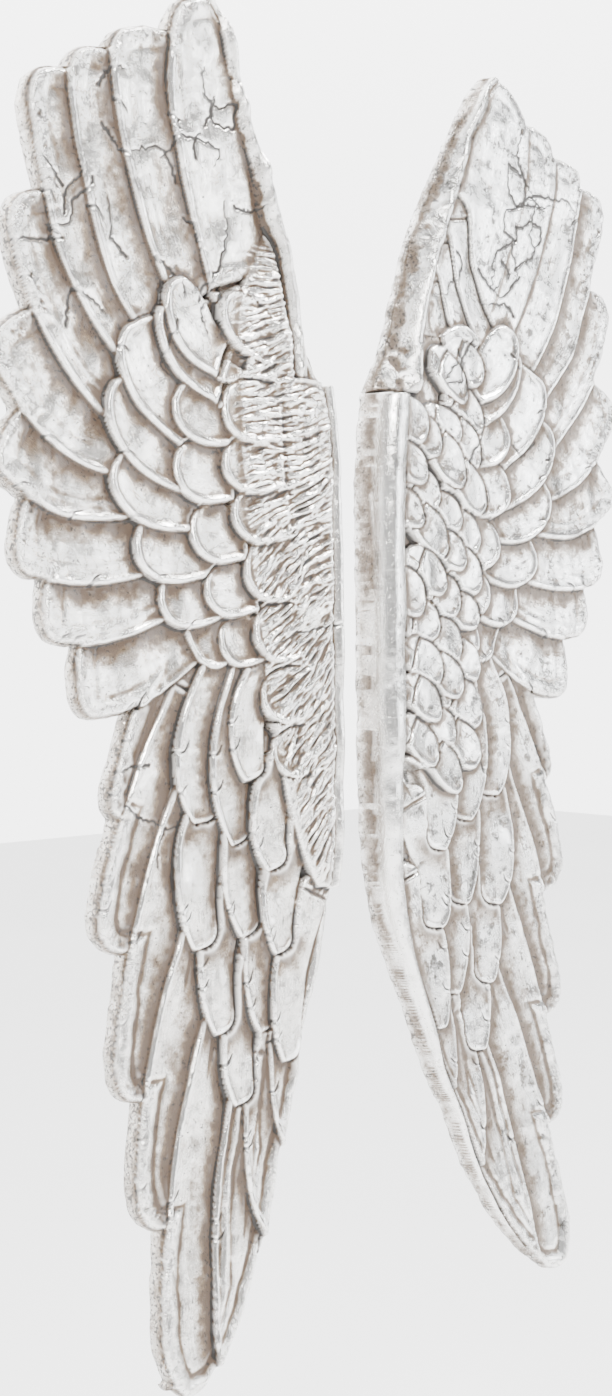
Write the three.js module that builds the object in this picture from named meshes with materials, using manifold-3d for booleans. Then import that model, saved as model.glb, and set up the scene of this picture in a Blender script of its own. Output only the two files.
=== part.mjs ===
// A pair of wall-hung sculpted wings: feather tiers stacked like shingles on a bowed backing board,
// each wing hung on two strap hangers with swinging D-rings and kept off the wall by rubber bumpers.
// Millimetres, +Z up. The wall is the plane Y = 0 and the wings stand out towards -Y.
// The origin is the point on the wall midway between the wings, level with the two upper hooks.
import * as THREE from "three";
import { mergeVertices } from "three/addons/utils/BufferGeometryUtils.js";
import Module from "manifold-3d";

const wasm = await Module();
wasm.setup();

// Driving dimensions of one wing. "Out" runs from the leading edge to the feather tips.
const WING_HEIGHT = 1060;
const WING_WIDTH = 315;
const WINGS_APART = 36; // between the two leading edges
const SEAT = 0.6; // between two stacked tiers
const CLEAR = 0.6; // round a piece let into its neighbours

// Stand-off from the wall, and the thickness of each layer, wall side first.
const STAND_OFF = 8;
const BACKING_THICK = 8;
const FLIGHT_THICK = 14.5;
const COVERT_THICK = 6.5;
const SMALL_COVERT_THICK = 5.5;
const SPAR_DEPTH = 35;
const RIM_DEPTH = 24;
const DOWN_DEPTH = 33;

// How far the ends of a wing bow away from the wall, beyond the flat stretch that bears on it.
const TOP_BOW = 22;
const TIP_BOW = 42;
const FLAT_MIDDLE = 0.528; // share of the height
const FLAT_HALF = 150;

// The leading edge sweeps outwards towards both ends.
const TIP_SWEEP = 172;
const TOP_SWEEP = 130;
const TIP_SWEEP_FROM = 0.377; // share of the height
const TOP_SWEEP_FROM = 0.64;
const TIP_SWEEP_BEND = 1.75; // 1 is a straight slant
const TOP_SWEEP_BEND = 1.3;

const SPAR_WIDTH = 32;
const RIM_WIDTH = 38;
const BACKING_INSET = 20; // from the feather tips
const LEAD_INSET = 3; // from the leading edge

// Hanging hardware, on the back of the backing board.
const HANGER_OUT = 112;
const UPPER_HANGER = 0.642; // share of the height
const LOWER_HANGER = 0.425;
const STRAP_WIDTH = 14;
const STRAP_THICK = 1.2;
const STRAP_END = 7; // beyond the last screw
const BARREL_LENGTH = 10;
const BARREL_WALL = 1;
const WIRE_RADIUS = 1.5;
const WIRE_PLAY = 0.5;
const BARREL_RADIUS = WIRE_RADIUS + WIRE_PLAY + BARREL_WALL;
const RING_ROOM = 3.5; // between the ring's wire and the strap's edge
const RING_HALF_WIDTH = STRAP_WIDTH / 2 + RING_ROOM + WIRE_RADIUS;
const RING_REACH = 17.5;
const SCREW_RADIUS = 1.8;
const SCREW_FLOOR = 1.2; // of backing left ahead of a screw
const SCREW_BITE = BACKING_THICK - SCREW_FLOOR;
const SCREW_POINT = 1.5;
const HEAD_RADIUS = 3.2;
const HEAD_HEIGHT = 1.6;
const SCREW_PLAY = 0.3;
const SCREW_SPACE = 4.8; // between the folded ring and the second screw's head
// Both screws' distances from the barrel's axis: one inside the folded ring, one beyond it.
const SCREWS_DOWN = [RING_REACH / 2, RING_REACH + WIRE_RADIUS + SCREW_SPACE + HEAD_RADIUS];
const STRAP_LENGTH = SCREWS_DOWN[1] + STRAP_END;
const BUMPER_RADIUS = 11;
const BUMPERS = [
  { name: "upper_inner", out: 44, up: 0.65 },
  { name: "upper_outer", out: 190, up: 0.65 },
  { name: "lower_inner", out: 44, up: 0.415 },
  { name: "lower_outer", out: 150, up: 0.415 },
];
const CONTACT = 0.3; // between pieces that bear on each other face to face

// Depths from the wall at which each layer starts, counted outwards.
const BACKING_AT = STAND_OFF;
const FLIGHTS_AT = BACKING_AT + BACKING_THICK + SEAT;
const COVERTS_AT = FLIGHTS_AT + FLIGHT_THICK + SEAT;
const MEDIANS_AT = COVERTS_AT + COVERT_THICK + SEAT;
const LESSERS_AT = MEDIANS_AT + SMALL_COVERT_THICK + SEAT;

// Feather tiers. Roots and tips are in percent of the wing's width (out) and height (up), heading is
// the way the tip points in degrees (90 is up, 180 is straight out), width in millimetres. The
// feathers of a tier are spread evenly between its keys.
const TIERS = {
  tertials: {
    count: 4,
    at: FLIGHTS_AT,
    thick: FLIGHT_THICK,
    keys: [
      { root: [36, 80], tip: [42.5, 100], heading: 94, width: 76 },
      { root: [44, 79.5], tip: [63, 97], heading: 96, width: 60 },
      { root: [54, 76], tip: [77, 94.8], heading: 93, width: 54 },
      { root: [62, 72], tip: [88, 92.2], heading: 90, width: 52 },
    ],
  },
  secondaries: {
    count: 7,
    at: FLIGHTS_AT,
    thick: FLIGHT_THICK,
    keys: [
      { root: [63, 69.5], tip: [94.5, 83], heading: 92, width: 58 },
      { root: [60, 64], tip: [98, 70.5], heading: 130, width: 68 },
      { root: [58, 59.5], tip: [96.5, 61.4], heading: 168, width: 64 },
      { root: [44, 54], tip: [80, 51.7], heading: 202, width: 62 },
    ],
  },
  primaries: {
    count: 9,
    at: FLIGHTS_AT,
    thick: FLIGHT_THICK,
    keys: [
      { root: [40, 53], tip: [68, 41.8], heading: 256, width: 70 },
      { root: [35, 43], tip: [67, 20.5], heading: 264, width: 70 },
      { root: [29, 30], tip: [58, 0], heading: 262, width: 58 },
      { root: [20, 29], tip: [32, 10.5], heading: 246, width: 54 },
      { root: [13, 38], tip: [13, 24], heading: 262, width: 44 },
    ],
  },
  greater_coverts: {
    count: 7,
    at: COVERTS_AT,
    thick: COVERT_THICK,
    keys: [
      { root: [38, 73], tip: [53, 80], heading: 100, width: 60 },
      { root: [42, 68], tip: [64, 74.5], heading: 116, width: 60 },
      { root: [42, 63], tip: [66.5, 65], heading: 150, width: 64 },
      { root: [34, 56], tip: [51, 54], heading: 200, width: 60 },
    ],
  },
  median_coverts: {
    count: 7,
    at: MEDIANS_AT,
    thick: SMALL_COVERT_THICK,
    keys: [
      { root: [33, 74], tip: [49, 76.5], heading: 140, width: 46 },
      { root: [36, 67], tip: [54.5, 69.5], heading: 150, width: 56 },
      { root: [31, 58], tip: [49.5, 58], heading: 180, width: 54 },
      { root: [28, 55], tip: [43, 53], heading: 205, width: 48 },
    ],
  },
  lesser_coverts: {
    count: 7,
    at: LESSERS_AT,
    thick: SMALL_COVERT_THICK,
    keys: [
      { root: [26, 78], tip: [39, 80.5], heading: 140, width: 58 },
      { root: [27, 70], tip: [43, 71], heading: 165, width: 60 },
      { root: [24, 61], tip: [40, 61], heading: 182, width: 60 },
      { root: [20, 55], tip: [33, 53.5], heading: 205, width: 56 },
    ],
  },
  primary_coverts: {
    count: 7,
    at: COVERTS_AT,
    thick: COVERT_THICK,
    keys: [
      { root: [36, 54], tip: [51, 45.5], heading: 250, width: 46 },
      { root: [30, 44], tip: [48, 34], heading: 262, width: 44 },
      { root: [24, 31], tip: [40, 19.5], heading: 264, width: 40 },
    ],
  },
  bastard_feathers: {
    count: 5,
    at: MEDIANS_AT,
    thick: SMALL_COVERT_THICK,
    keys: [
      { root: [24, 56], tip: [33, 48.5], heading: 240, width: 42 },
      { root: [17, 48], tip: [27, 38], heading: 256, width: 40 },
      { root: [12, 36], tip: [22, 23.5], heading: 262, width: 36 },
    ],
  },
};

const deg = THREE.MathUtils.degToRad;
const outAt = (percent) => (percent / 100) * WING_WIDTH;
const upAt = (percent) => (percent / 100) * WING_HEIGHT;

// The leading edge's distance out, at a height.
function leadingEdge(up) {
  const share = up / WING_HEIGHT;
  const below = Math.max(0, TIP_SWEEP_FROM - share) / TIP_SWEEP_FROM;
  const above = Math.max(0, share - TOP_SWEEP_FROM) / (1 - TOP_SWEEP_FROM);
  return TIP_SWEEP * below ** TIP_SWEEP_BEND + TOP_SWEEP * above ** TOP_SWEEP_BEND;
}

// How far the wing has bowed off the wall, at a height.
function bow(up) {
  const middle = FLAT_MIDDLE * WING_HEIGHT;
  const above = Math.max(0, up - middle - FLAT_HALF) / (WING_HEIGHT - middle - FLAT_HALF);
  const below = Math.max(0, middle - FLAT_HALF - up) / (middle - FLAT_HALF);
  return TOP_BOW * above ** 2 + TIP_BOW * below ** 2;
}

// A smooth curve through values given at heights: pairs of [height percent, value].
function profile(pairs) {
  const curve = new THREE.SplineCurve(pairs.map(([up, value]) => new THREE.Vector2(up, value)));
  const points = curve.getPoints(pairs.length * 12);
  return (upPercent) => {
    const next = points.findIndex((p) => p.x >= upPercent);
    if (next < 0) return points.at(-1).y;
    if (next === 0) return points[0].y;
    const [a, b] = [points[next - 1], points[next]];
    return a.y + ((b.y - a.y) * (upPercent - a.x)) / (b.x - a.x);
  };
}

// Where the feather tips reach, in percent out.
const outerEdge = profile([
  [0, 60], [12, 64], [25, 68], [38, 71], [47, 67], [54, 84],
  [62, 96], [72, 99], [84, 94], [92, 86], [97, 58], [100, 46],
]);
// Where the down gives way to the coverts, in millimetres out from the leading edge.
const downEdge = profile([
  [34, 44], [44, 58], [52, 76], [60, 96], [70, 98], [78, 78], [83, 58],
]);

// A point of the wing: out and up on the board, and depth from the wall at the flat stretch.
function point(out, up, depth) {
  return new THREE.Vector3(WINGS_APART / 2 + out, -(depth + bow(up)), up - hookHeight());
}

// Height of the upper hooks, which is where the origin lies.
function hookHeight() {
  return UPPER_HANGER * WING_HEIGHT + RING_REACH - WIRE_RADIUS;
}

// A closed body through convex sections that all have the same number of points.
function loft(sections) {
  const across = sections[0].length;
  const index = [];
  for (let s = 0; s + 1 < sections.length; s += 1) {
    for (let k = 0; k < across; k += 1) {
      const [a, b] = [s * across + k, s * across + ((k + 1) % across)];
      index.push(a, b, b + across, a, b + across, a + across);
    }
  }
  const last = (sections.length - 1) * across;
  for (let k = 1; k + 1 < across; k += 1) {
    index.push(0, k + 1, k, last, last + k, last + k + 1);
  }
  const geometry = new THREE.BufferGeometry().setFromPoints(sections.flat());
  geometry.setIndex(index);
  return geometry;
}

// A three.js geometry as a manifold-3d solid, with its faces turned outwards.
function solid(geometry) {
  const bare = geometry.clone();
  bare.deleteAttribute("normal");
  bare.deleteAttribute("uv");
  const merged = mergeVertices(bare, 1e-4);
  const vertProperties = merged.attributes.position.array;
  const make = (triVerts) => new wasm.Manifold(new wasm.Mesh({ numProp: 3, vertProperties, triVerts }));
  const made = make(new Uint32Array(merged.index.array));
  return made.volume() < 0 ? make(new Uint32Array(merged.index.array).reverse()) : made;
}

function geometryOf(manifold) {
  const mesh = manifold.getMesh();
  const geometry = new THREE.BufferGeometry();
  geometry.setAttribute("position", new THREE.BufferAttribute(new Float32Array(mesh.vertProperties), 3));
  geometry.setIndex(new THREE.BufferAttribute(new Uint32Array(mesh.triVerts), 1));
  geometry.computeVertexNormals();
  return geometry;
}

// The feathers of a tier, interpolated along its keys: roots, tips, headings and widths.
function feathersOf(tier) {
  const along = (pick) => new THREE.CatmullRomCurve3(tier.keys.map(pick), false, "catmullrom", 0.5);
  const roots = along((key) => new THREE.Vector3(outAt(key.root[0]), upAt(key.root[1]), 0));
  const tips = along((key) => new THREE.Vector3(outAt(key.tip[0]), upAt(key.tip[1]), 0));
  const habits = along((key) => new THREE.Vector3(key.heading, key.width, 0));
  return Array.from({ length: tier.count }, (_, i) => {
    const t = i / (tier.count - 1);
    const [root, tip, habit] = [roots.getPoint(t), tips.getPoint(t), habits.getPoint(t)];
    const heading = new THREE.Vector3(-Math.cos(deg(habit.x)), Math.sin(deg(habit.x)), 0);
    const pull = tip.clone().addScaledVector(heading, -root.distanceTo(tip) / 2);
    return { shaft: new THREE.QuadraticBezierCurve3(root, pull, tip), width: habit.y };
  });
}

// How far up its side a blade stays upright before it slopes to the ridge, as a share.
const EDGE_SHARE = 0.7;
const ROOT_WIDTH = 0.75; // of the full width
const WIDEST_AT = 0.7; // of the length, and the tip rounds off beyond it
const STATION_SPACING = 62;

// Stations along a feather's shaft, and its half width there as a share of the full half width.
function bladeStations(length) {
  const steps = Math.ceil((WIDEST_AT * length) / STATION_SPACING);
  const body = Array.from({ length: steps + 1 }, (_, i) => i / steps).map((share) => ({
    along: WIDEST_AT * share,
    half: ROOT_WIDTH + (1 - ROOT_WIDTH) * share,
  }));
  return [...body, { along: 0.88, half: 0.83 }, { along: 1, half: 0.3 }];
}

// One feather: a flat-backed blade with a low ridge along its shaft.
function featherBlade({ shaft, width }, at, thick, grow = 0) {
  const sections = bladeStations(shaft.getLength()).map(({ along, half }) => {
    const centre = shaft.getPoint(along);
    const tangent = shaft.getTangent(along);
    const side = new THREE.Vector3(-tangent.y, tangent.x, 0).multiplyScalar((half * width) / 2 + grow);
    const corner = (share, depth) => point(centre.x + share * side.x, centre.y + share * side.y, depth);
    const [low, edge, ridge] = [at - grow, at + EDGE_SHARE * thick + grow, at + thick + grow];
    return [corner(-1, low), corner(1, low), corner(1, edge), corner(0, ridge), corner(-1, edge)];
  });
  return solid(loft(sections));
}

function featherTier(tier, grow = 0) {
  const blades = feathersOf(tier).map((feather) => featherBlade(feather, tier.at, tier.thick, grow));
  return wasm.Manifold.union(blades);
}

// Heights from one percent to another in equal steps.
function stations(from, to, steps) {
  return Array.from({ length: steps + 1 }, (_, i) => upAt(from + ((to - from) * i) / steps));
}

function percentOf(up) {
  return (100 * up) / WING_HEIGHT;
}

function backingBoard() {
  const board = stations(7, 95.5, 20).map((up) => {
    const inner = leadingEdge(up) + LEAD_INSET;
    const outer = Math.max(outAt(outerEdge(percentOf(up))) - BACKING_INSET, inner + BACKING_INSET);
    const front = BACKING_AT + BACKING_THICK;
    const rear = [point(inner, up, BACKING_AT), point(outer, up, BACKING_AT)];
    return [...rear, point(outer, up, front), point(inner, up, front)];
  });
  return solid(loft(board));
}

// The smooth roll along the leading edge, tapering towards the wing's tip.
const SPAR_FROM = 8;
const SPAR_TO = 73;
function spar(grow = 0) {
  const taper = profile([[SPAR_FROM, 0.22], [20, 0.45], [32, 0.7], [44, 0.95], [58, 1], [SPAR_TO, 0.94]]);
  return solid(
    loft(
      stations(SPAR_FROM, SPAR_TO, 16).map((up) => {
        const wide = SPAR_WIDTH * taper(percentOf(up)) + grow;
        const deep = SPAR_DEPTH * taper(percentOf(up)) + grow;
        return rollSection(up, wide, deep, grow);
      }),
    ),
  );
}

// The rough, flatter rim that carries on above the spar up to the shoulder.
const RIM_TO = 97.5;
function shoulderRim(grow = 0) {
  const taper = profile([[SPAR_TO, 1.06], [80, 1], [90, 0.9], [RIM_TO, 0.6]]);
  return solid(
    loft(
      stations(SPAR_TO, RIM_TO, 10).map((up, i) => {
        const lump = 1 + 0.07 * Math.sin(2.4 * i);
        const share = taper(percentOf(up)) * lump;
        const start = i === 0 && grow === 0 ? CLEAR : 0;
        return rollSection(up + start, RIM_WIDTH * share + grow, RIM_DEPTH * share + grow, grow);
      }),
    ),
  );
}

// A section of the leading edge: straight side, rounded front, flat seat on the backing.
function rollSection(up, wide, deep, grow) {
  const out = leadingEdge(up) - grow;
  const seat = FLIGHTS_AT - grow;
  const corner = (share, rise) => point(out + share * (wide + grow), up, seat + rise * (deep + grow));
  const front = [corner(1, 0.6), corner(0.76, 0.9), corner(0.46, 1), corner(0.18, 0.9), corner(0, 0.62)];
  return [corner(0, 0), corner(1, 0), ...front];
}

// The bed of down between the spar and the coverts.
const DOWN_FROM = 36;
const DOWN_TO = 82;
const DOWN_FALL = 7; // from its crown to its outer edge
function downPanel(grow = 0) {
  return solid(
    loft(
      stations(DOWN_FROM, DOWN_TO, 12).map((up) => {
        const inner = leadingEdge(up) + 0.55 * SPAR_WIDTH + grow;
        const outer = leadingEdge(up) + downEdge(percentOf(up)) + grow;
        const corner = (share, depth) => point(inner + share * (outer - inner), up, depth);
        const [seat, front] = [FLIGHTS_AT - grow, FLIGHTS_AT + DOWN_DEPTH + grow];
        const crown = [corner(1, front - DOWN_FALL), corner(0.55, front), corner(0, front)];
        return [corner(0, seat), corner(1, seat), ...crown];
      }),
    ),
  );
}

function cylinder(radius, length, sides = 12) {
  return new THREE.CylinderGeometry(radius, radius, length, sides);
}

// A strap hanger seen from behind: a plate with two screw holes under a rolled barrel.
// Its own origin is the barrel's axis, +Y towards the wall.
function strapHanger() {
  const back = BARREL_RADIUS; // the plate's seat, measured from the axis
  const plateShape = new THREE.BoxGeometry(STRAP_WIDTH, STRAP_THICK, STRAP_LENGTH);
  const plate = solid(plateShape.translate(0, -back + STRAP_THICK / 2, -STRAP_LENGTH / 2));
  const barrel = solid(cylinder(BARREL_RADIUS, BARREL_LENGTH).rotateZ(Math.PI / 2));
  const bore = solid(cylinder(WIRE_RADIUS + WIRE_PLAY, STRAP_WIDTH + 2).rotateZ(Math.PI / 2));
  const holes = SCREWS_DOWN.map((down) =>
    solid(cylinder(SCREW_RADIUS + SCREW_PLAY, 4 * STRAP_THICK, 8).translate(0, -back, -down)),
  );
  // The ring's wire leaves the barrel at both ends, so the plate is notched beside it.
  const notch = (side) =>
    solid(
      new THREE.BoxGeometry(STRAP_WIDTH, 2 * BARREL_RADIUS + 2, 2 * BARREL_RADIUS + 2).translate(
        side * (BARREL_LENGTH / 2 + STRAP_WIDTH / 2),
        0,
        0,
      ),
    );
  return geometryOf(
    wasm.Manifold.difference([plate.add(barrel), bore, ...holes, notch(-1), notch(1)]),
  );
}

// The D-ring, pointing up from its straight side, which lies on the local X axis.
function dRing() {
  const [half, reach] = [RING_HALF_WIDTH, RING_REACH];
  const corners = [
    [-0.75 * half, 0], [-0.25 * half, 0], [0.25 * half, 0], [0.75 * half, 0], [half, 0.16 * reach],
    [half, 0.45 * reach], [0.7 * half, 0.84 * reach], [0, reach], [-0.7 * half, 0.84 * reach],
    [-half, 0.45 * reach], [-half, 0.16 * reach],
  ];
  const loop = new THREE.CatmullRomCurve3(corners.map(([x, z]) => new THREE.Vector3(x, 0, z)), true);
  return closedWire(loop, WIRE_RADIUS, 26, 6);
}

// A closed wire bent to a loop that lies flat in its XZ plane.
function closedWire(loop, radius, steps, sides) {
  const points = [];
  const index = [];
  for (let s = 0; s < steps; s += 1) {
    const centre = loop.getPoint(s / steps);
    const tangent = loop.getTangent(s / steps);
    const side = new THREE.Vector3(tangent.z, 0, -tangent.x);
    for (let k = 0; k < sides; k += 1) {
      const angle = (2 * Math.PI * k) / sides;
      const offset = side.clone().multiplyScalar(radius * Math.cos(angle));
      points.push(centre.clone().add(offset).add(new THREE.Vector3(0, radius * Math.sin(angle), 0)));
      const [a, b] = [s * sides + k, s * sides + ((k + 1) % sides)];
      const [c, d] = [(a + sides) % (steps * sides), (b + sides) % (steps * sides)];
      index.push(a, c, d, a, d, b);
    }
  }
  const geometry = new THREE.BufferGeometry().setFromPoints(points);
  geometry.setIndex(index);
  return geometryOf(solid(geometry));
}

// A pan-head screw along its local Y axis, driven towards -Y, its head's underside at the origin.
function screw() {
  const outline = [
    [0, -STRAP_THICK - SCREW_BITE],
    [SCREW_RADIUS * 0.5, -STRAP_THICK - SCREW_BITE],
    [SCREW_RADIUS, -STRAP_THICK - SCREW_BITE + SCREW_POINT],
    [SCREW_RADIUS, 0],
    [HEAD_RADIUS, 0],
    [HEAD_RADIUS * 0.8, HEAD_HEIGHT],
    [0, HEAD_HEIGHT],
  ];
  return new THREE.LatheGeometry(outline.map(([x, y]) => new THREE.Vector2(x, y)), 8);
}

function bumper() {
  return cylinder(BUMPER_RADIUS, STAND_OFF - CONTACT, 16);
}

const finishes = {
  leaf: new THREE.MeshStandardMaterial({ color: 0xdcd8cf, roughness: 0.42, metalness: 0.55 }),
  back: new THREE.MeshStandardMaterial({ color: 0xcfc9bd, roughness: 0.8, metalness: 0 }),
  steel: new THREE.MeshStandardMaterial({ color: 0xb9bcc0, roughness: 0.35, metalness: 1 }),
  brass: new THREE.MeshStandardMaterial({ color: 0xc9a85a, roughness: 0.35, metalness: 1 }),
  rubber: new THREE.MeshStandardMaterial({ color: 0x2c2c2e, roughness: 0.9, metalness: 0 }),
};

// Places of the hardware on a wing, in its own frame.
const hangers = [
  { name: "upper", up: UPPER_HANGER * WING_HEIGHT },
  { name: "lower", up: LOWER_HANGER * WING_HEIGHT },
];
const axisDepth = STAND_OFF - CONTACT - BARREL_RADIUS;
const headDepth = STAND_OFF - CONTACT - STRAP_THICK - CONTACT;

// The two screw holes that each hanger needs in the backing.
function screwHoles() {
  const length = 2 * SCREW_BITE; // half of it outside the backing
  return hangers.flatMap(({ up }) =>
    SCREWS_DOWN.map((down) => {
      const at = point(HANGER_OUT, up - down, BACKING_AT);
      return solid(cylinder(SCREW_RADIUS + SCREW_PLAY, length, 8).translate(at.x, at.y, at.z));
    }),
  );
}

// Every piece of the sculpture itself, as solids that keep clear of each other.
function sculpture() {
  const inlay = wasm.Manifold.union([spar(CLEAR), shoulderRim(CLEAR), downPanel(CLEAR)]);
  const tier = (name) => featherTier(TIERS[name]).subtract(inlay);
  return {
    backing: wasm.Manifold.difference([backingBoard(), ...screwHoles()]),
    spar: spar(),
    shoulder_rim: shoulderRim(),
    down_panel: downPanel().subtract(spar(CLEAR)).subtract(shoulderRim(CLEAR)),
    tertials: tier("tertials"),
    secondaries: tier("secondaries").subtract(featherTier(TIERS.tertials, CLEAR)),
    primaries: tier("primaries").subtract(featherTier(TIERS.secondaries, CLEAR)),
    greater_coverts: tier("greater_coverts"),
    primary_coverts: tier("primary_coverts").subtract(featherTier(TIERS.greater_coverts, CLEAR)),
    median_coverts: tier("median_coverts"),
    bastard_feathers: tier("bastard_feathers").subtract(featherTier(TIERS.median_coverts, CLEAR)),
    lesser_coverts: tier("lesser_coverts"),
  };
}

// The largest body of a cut piece: slivers cut loose at its root are dropped.
function mainBody(manifold) {
  return manifold.decompose().reduce((most, body) => (body.volume() > most.volume() ? body : most));
}

const shapes = Object.entries(sculpture()).map(([name, manifold]) => ({
  name,
  geometry: geometryOf(mainBody(manifold)),
}));
const hardware = { strap: strapHanger(), ring: dRing(), screw: screw(), bumper: bumper() };

// One wing, built for the right-hand side of the pair; the left wing is its mirror image.
function wing(side) {
  const group = new THREE.Group();
  const add = (name, geometry, finish) => {
    const mesh = new THREE.Mesh(geometry, finishes[finish]);
    mesh.name = `${side}_${name}`;
    group.add(mesh);
    return mesh;
  };
  shapes.forEach(({ name, geometry }) => add(name, geometry, name === "backing" ? "back" : "leaf"));
  hangers.forEach(({ name, up }) => {
    const axis = point(HANGER_OUT, up, axisDepth);
    add(`${name}_hanger_strap`, hardware.strap, "brass").position.copy(axis);
    add(`${name}_hanger_ring`, hardware.ring, "steel").position.copy(axis);
    SCREWS_DOWN.forEach((down, i) => {
      const screwAt = point(HANGER_OUT, up - down, headDepth);
      add(`${name}_hanger_screw_${i + 1}`, hardware.screw, "steel").position.copy(screwAt);
    });
  });
  BUMPERS.forEach(({ name, out, up }) => {
    add(`${name}_bumper`, hardware.bumper, "rubber").position.copy(
      point(out, up * WING_HEIGHT, (STAND_OFF - CONTACT) / 2),
    );
  });
  return group;
}

const pair = new THREE.Group();
const rightWing = wing("right");
const leftWing = wing("left");
leftWing.scale.x = -1;
pair.add(rightWing, leftWing);

export default pair;
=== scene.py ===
"""Dresses a pair of sculpted wall wings: one relief per wing, carved feather by feather.

Each wing is worked out on a flat sheet, as a carver would lay it out: u runs out from the
leading edge and v up from the wing's tip, both in millimetres, and the relief's height is the
distance from the wall. Every feather is stamped into the sheet in the order in which the
feathers lie over each other, and the tiers are then cut apart into separate closed pieces.
"""

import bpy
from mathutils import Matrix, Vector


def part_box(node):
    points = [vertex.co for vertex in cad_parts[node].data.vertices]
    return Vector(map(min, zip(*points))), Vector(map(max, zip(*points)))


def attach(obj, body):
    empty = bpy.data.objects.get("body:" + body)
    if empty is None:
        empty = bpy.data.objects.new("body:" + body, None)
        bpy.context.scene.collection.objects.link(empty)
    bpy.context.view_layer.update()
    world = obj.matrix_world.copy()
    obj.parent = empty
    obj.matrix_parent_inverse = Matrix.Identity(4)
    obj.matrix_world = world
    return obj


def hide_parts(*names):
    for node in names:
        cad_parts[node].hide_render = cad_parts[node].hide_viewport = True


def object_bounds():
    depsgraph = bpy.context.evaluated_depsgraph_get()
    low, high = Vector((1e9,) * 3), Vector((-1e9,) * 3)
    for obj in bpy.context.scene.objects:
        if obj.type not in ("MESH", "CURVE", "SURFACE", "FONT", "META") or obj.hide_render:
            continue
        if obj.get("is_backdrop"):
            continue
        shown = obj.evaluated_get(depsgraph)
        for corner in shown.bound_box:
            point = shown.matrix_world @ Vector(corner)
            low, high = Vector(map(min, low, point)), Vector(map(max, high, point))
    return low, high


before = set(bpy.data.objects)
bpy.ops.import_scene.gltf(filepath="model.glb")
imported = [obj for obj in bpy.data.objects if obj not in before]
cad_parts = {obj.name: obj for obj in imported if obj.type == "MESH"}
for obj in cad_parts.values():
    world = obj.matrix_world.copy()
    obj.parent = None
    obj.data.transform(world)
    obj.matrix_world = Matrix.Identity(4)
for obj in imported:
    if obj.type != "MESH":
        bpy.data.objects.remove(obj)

import copy
import logging
import math
from dataclasses import dataclass, field
from enum import Enum
from typing import Callable

import bmesh
import bpy
import numpy as np
from mathutils import Matrix, Vector

log = logging.getLogger("wings")
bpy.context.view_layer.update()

MM = 0.001
Array = np.ndarray
Points = tuple[tuple[float, float], ...]


class Tier(Enum):
    """The rows of a wing, by the name of the node that each one stands for."""

    TERTIALS = "tertials"
    SECONDARIES = "secondaries"
    PRIMARIES = "primaries"
    GREATER_COVERTS = "greater_coverts"
    PRIMARY_COVERTS = "primary_coverts"
    BASTARD_FEATHERS = "bastard_feathers"
    MEDIAN_COVERTS = "median_coverts"
    LESSER_COVERTS = "lesser_coverts"
    DOWN_PANEL = "down_panel"
    SPAR = "spar"
    SHOULDER_RIM = "shoulder_rim"


TIER_ORDER = list(Tier)


class Side(Enum):
    """Which wing of the pair, with the sign of its X."""

    LEFT = -1
    RIGHT = 1

    @property
    def word(self) -> str:
        """The side's name as the nodes use it."""
        return self.name.lower()


# ---------------------------------------------------------------------------------------------
# Numbers on a grid
# ---------------------------------------------------------------------------------------------


def smooth(x: Array | float, low: float = 0.0, high: float = 1.0) -> Array:
    """A smooth step from 0 at low to 1 at high.

    Args:
        x: The values.
        low: Where the step starts.
        high: Where it ends.

    Returns:
        The stepped values, from 0 to 1.
    """
    t = np.clip((np.asarray(x, float) - low) / (high - low), 0.0, 1.0)
    return t * t * (3.0 - 2.0 * t)


def blur(values: Array, sigma: float) -> Array:
    """A Gaussian blur of a grid, with its edges carried on outwards.

    Args:
        values: The grid.
        sigma: Its width in cells.

    Returns:
        The blurred grid.
    """
    reach = max(1, int(math.ceil(2.6 * sigma)))
    taps = np.exp(-0.5 * (np.arange(-reach, reach + 1) / sigma) ** 2)
    taps /= taps.sum()
    out = values
    for axis in (0, 1):
        padded = np.pad(out, [(reach, reach) if a == axis else (0, 0) for a in (0, 1)], "edge")
        length = out.shape[axis]
        out = sum(tap * np.take(padded, range(k, k + length), axis) for k, tap in enumerate(taps))
    return out


def value_noise(shape: tuple[int, int], cell: tuple[float, float], seed: int) -> Array:
    """Soft random blotches.

    Args:
        shape: The grid's rows and columns.
        cell: The blotches' height and width in cells.
        seed: Which blotches.

    Returns:
        Values from -1 to 1.
    """
    rng = np.random.default_rng(seed)
    counts = [int(n / c) + 3 for n, c in zip(shape, cell)]
    grid = rng.uniform(-1.0, 1.0, counts)
    for axis in (0, 1):
        at = np.arange(shape[axis]) / cell[axis]
        low = at.astype(int)
        t = smooth(at - low)
        t = t[:, None] if axis == 0 else t[None, :]
        grid = np.take(grid, low, axis) * (1.0 - t) + np.take(grid, low + 1, axis) * t
    return grid


def curve_through(knots: Points, count: int) -> Array:
    """A smooth curve through points (Catmull-Rom), evenly spaced along its length.

    Args:
        knots: The points.
        count: How many points to return.

    Returns:
        An array of count rows (u, v).
    """
    k = np.array(knots, float)
    k = np.vstack([2 * k[0] - k[1], k, 2 * k[-1] - k[-2]])
    t = np.linspace(0.0, 1.0, 16, endpoint=False)[:, None]
    spans = []
    for a, b, c, d in zip(k[:-3], k[1:-2], k[2:-1], k[3:]):
        spans.append(
            0.5 * (2 * b + (c - a) * t + (2 * a - 5 * b + 4 * c - d) * t**2
                   + (3 * b - a - 3 * c + d) * t**3)
        )
    path = np.vstack([*spans, k[-2][None, :]])
    run = np.concatenate([[0.0], np.cumsum(np.linalg.norm(np.diff(path, axis=0), axis=1))])
    at = np.linspace(0.0, run[-1], count)
    return np.stack([np.interp(at, run, path[:, 0]), np.interp(at, run, path[:, 1])], 1)


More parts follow.
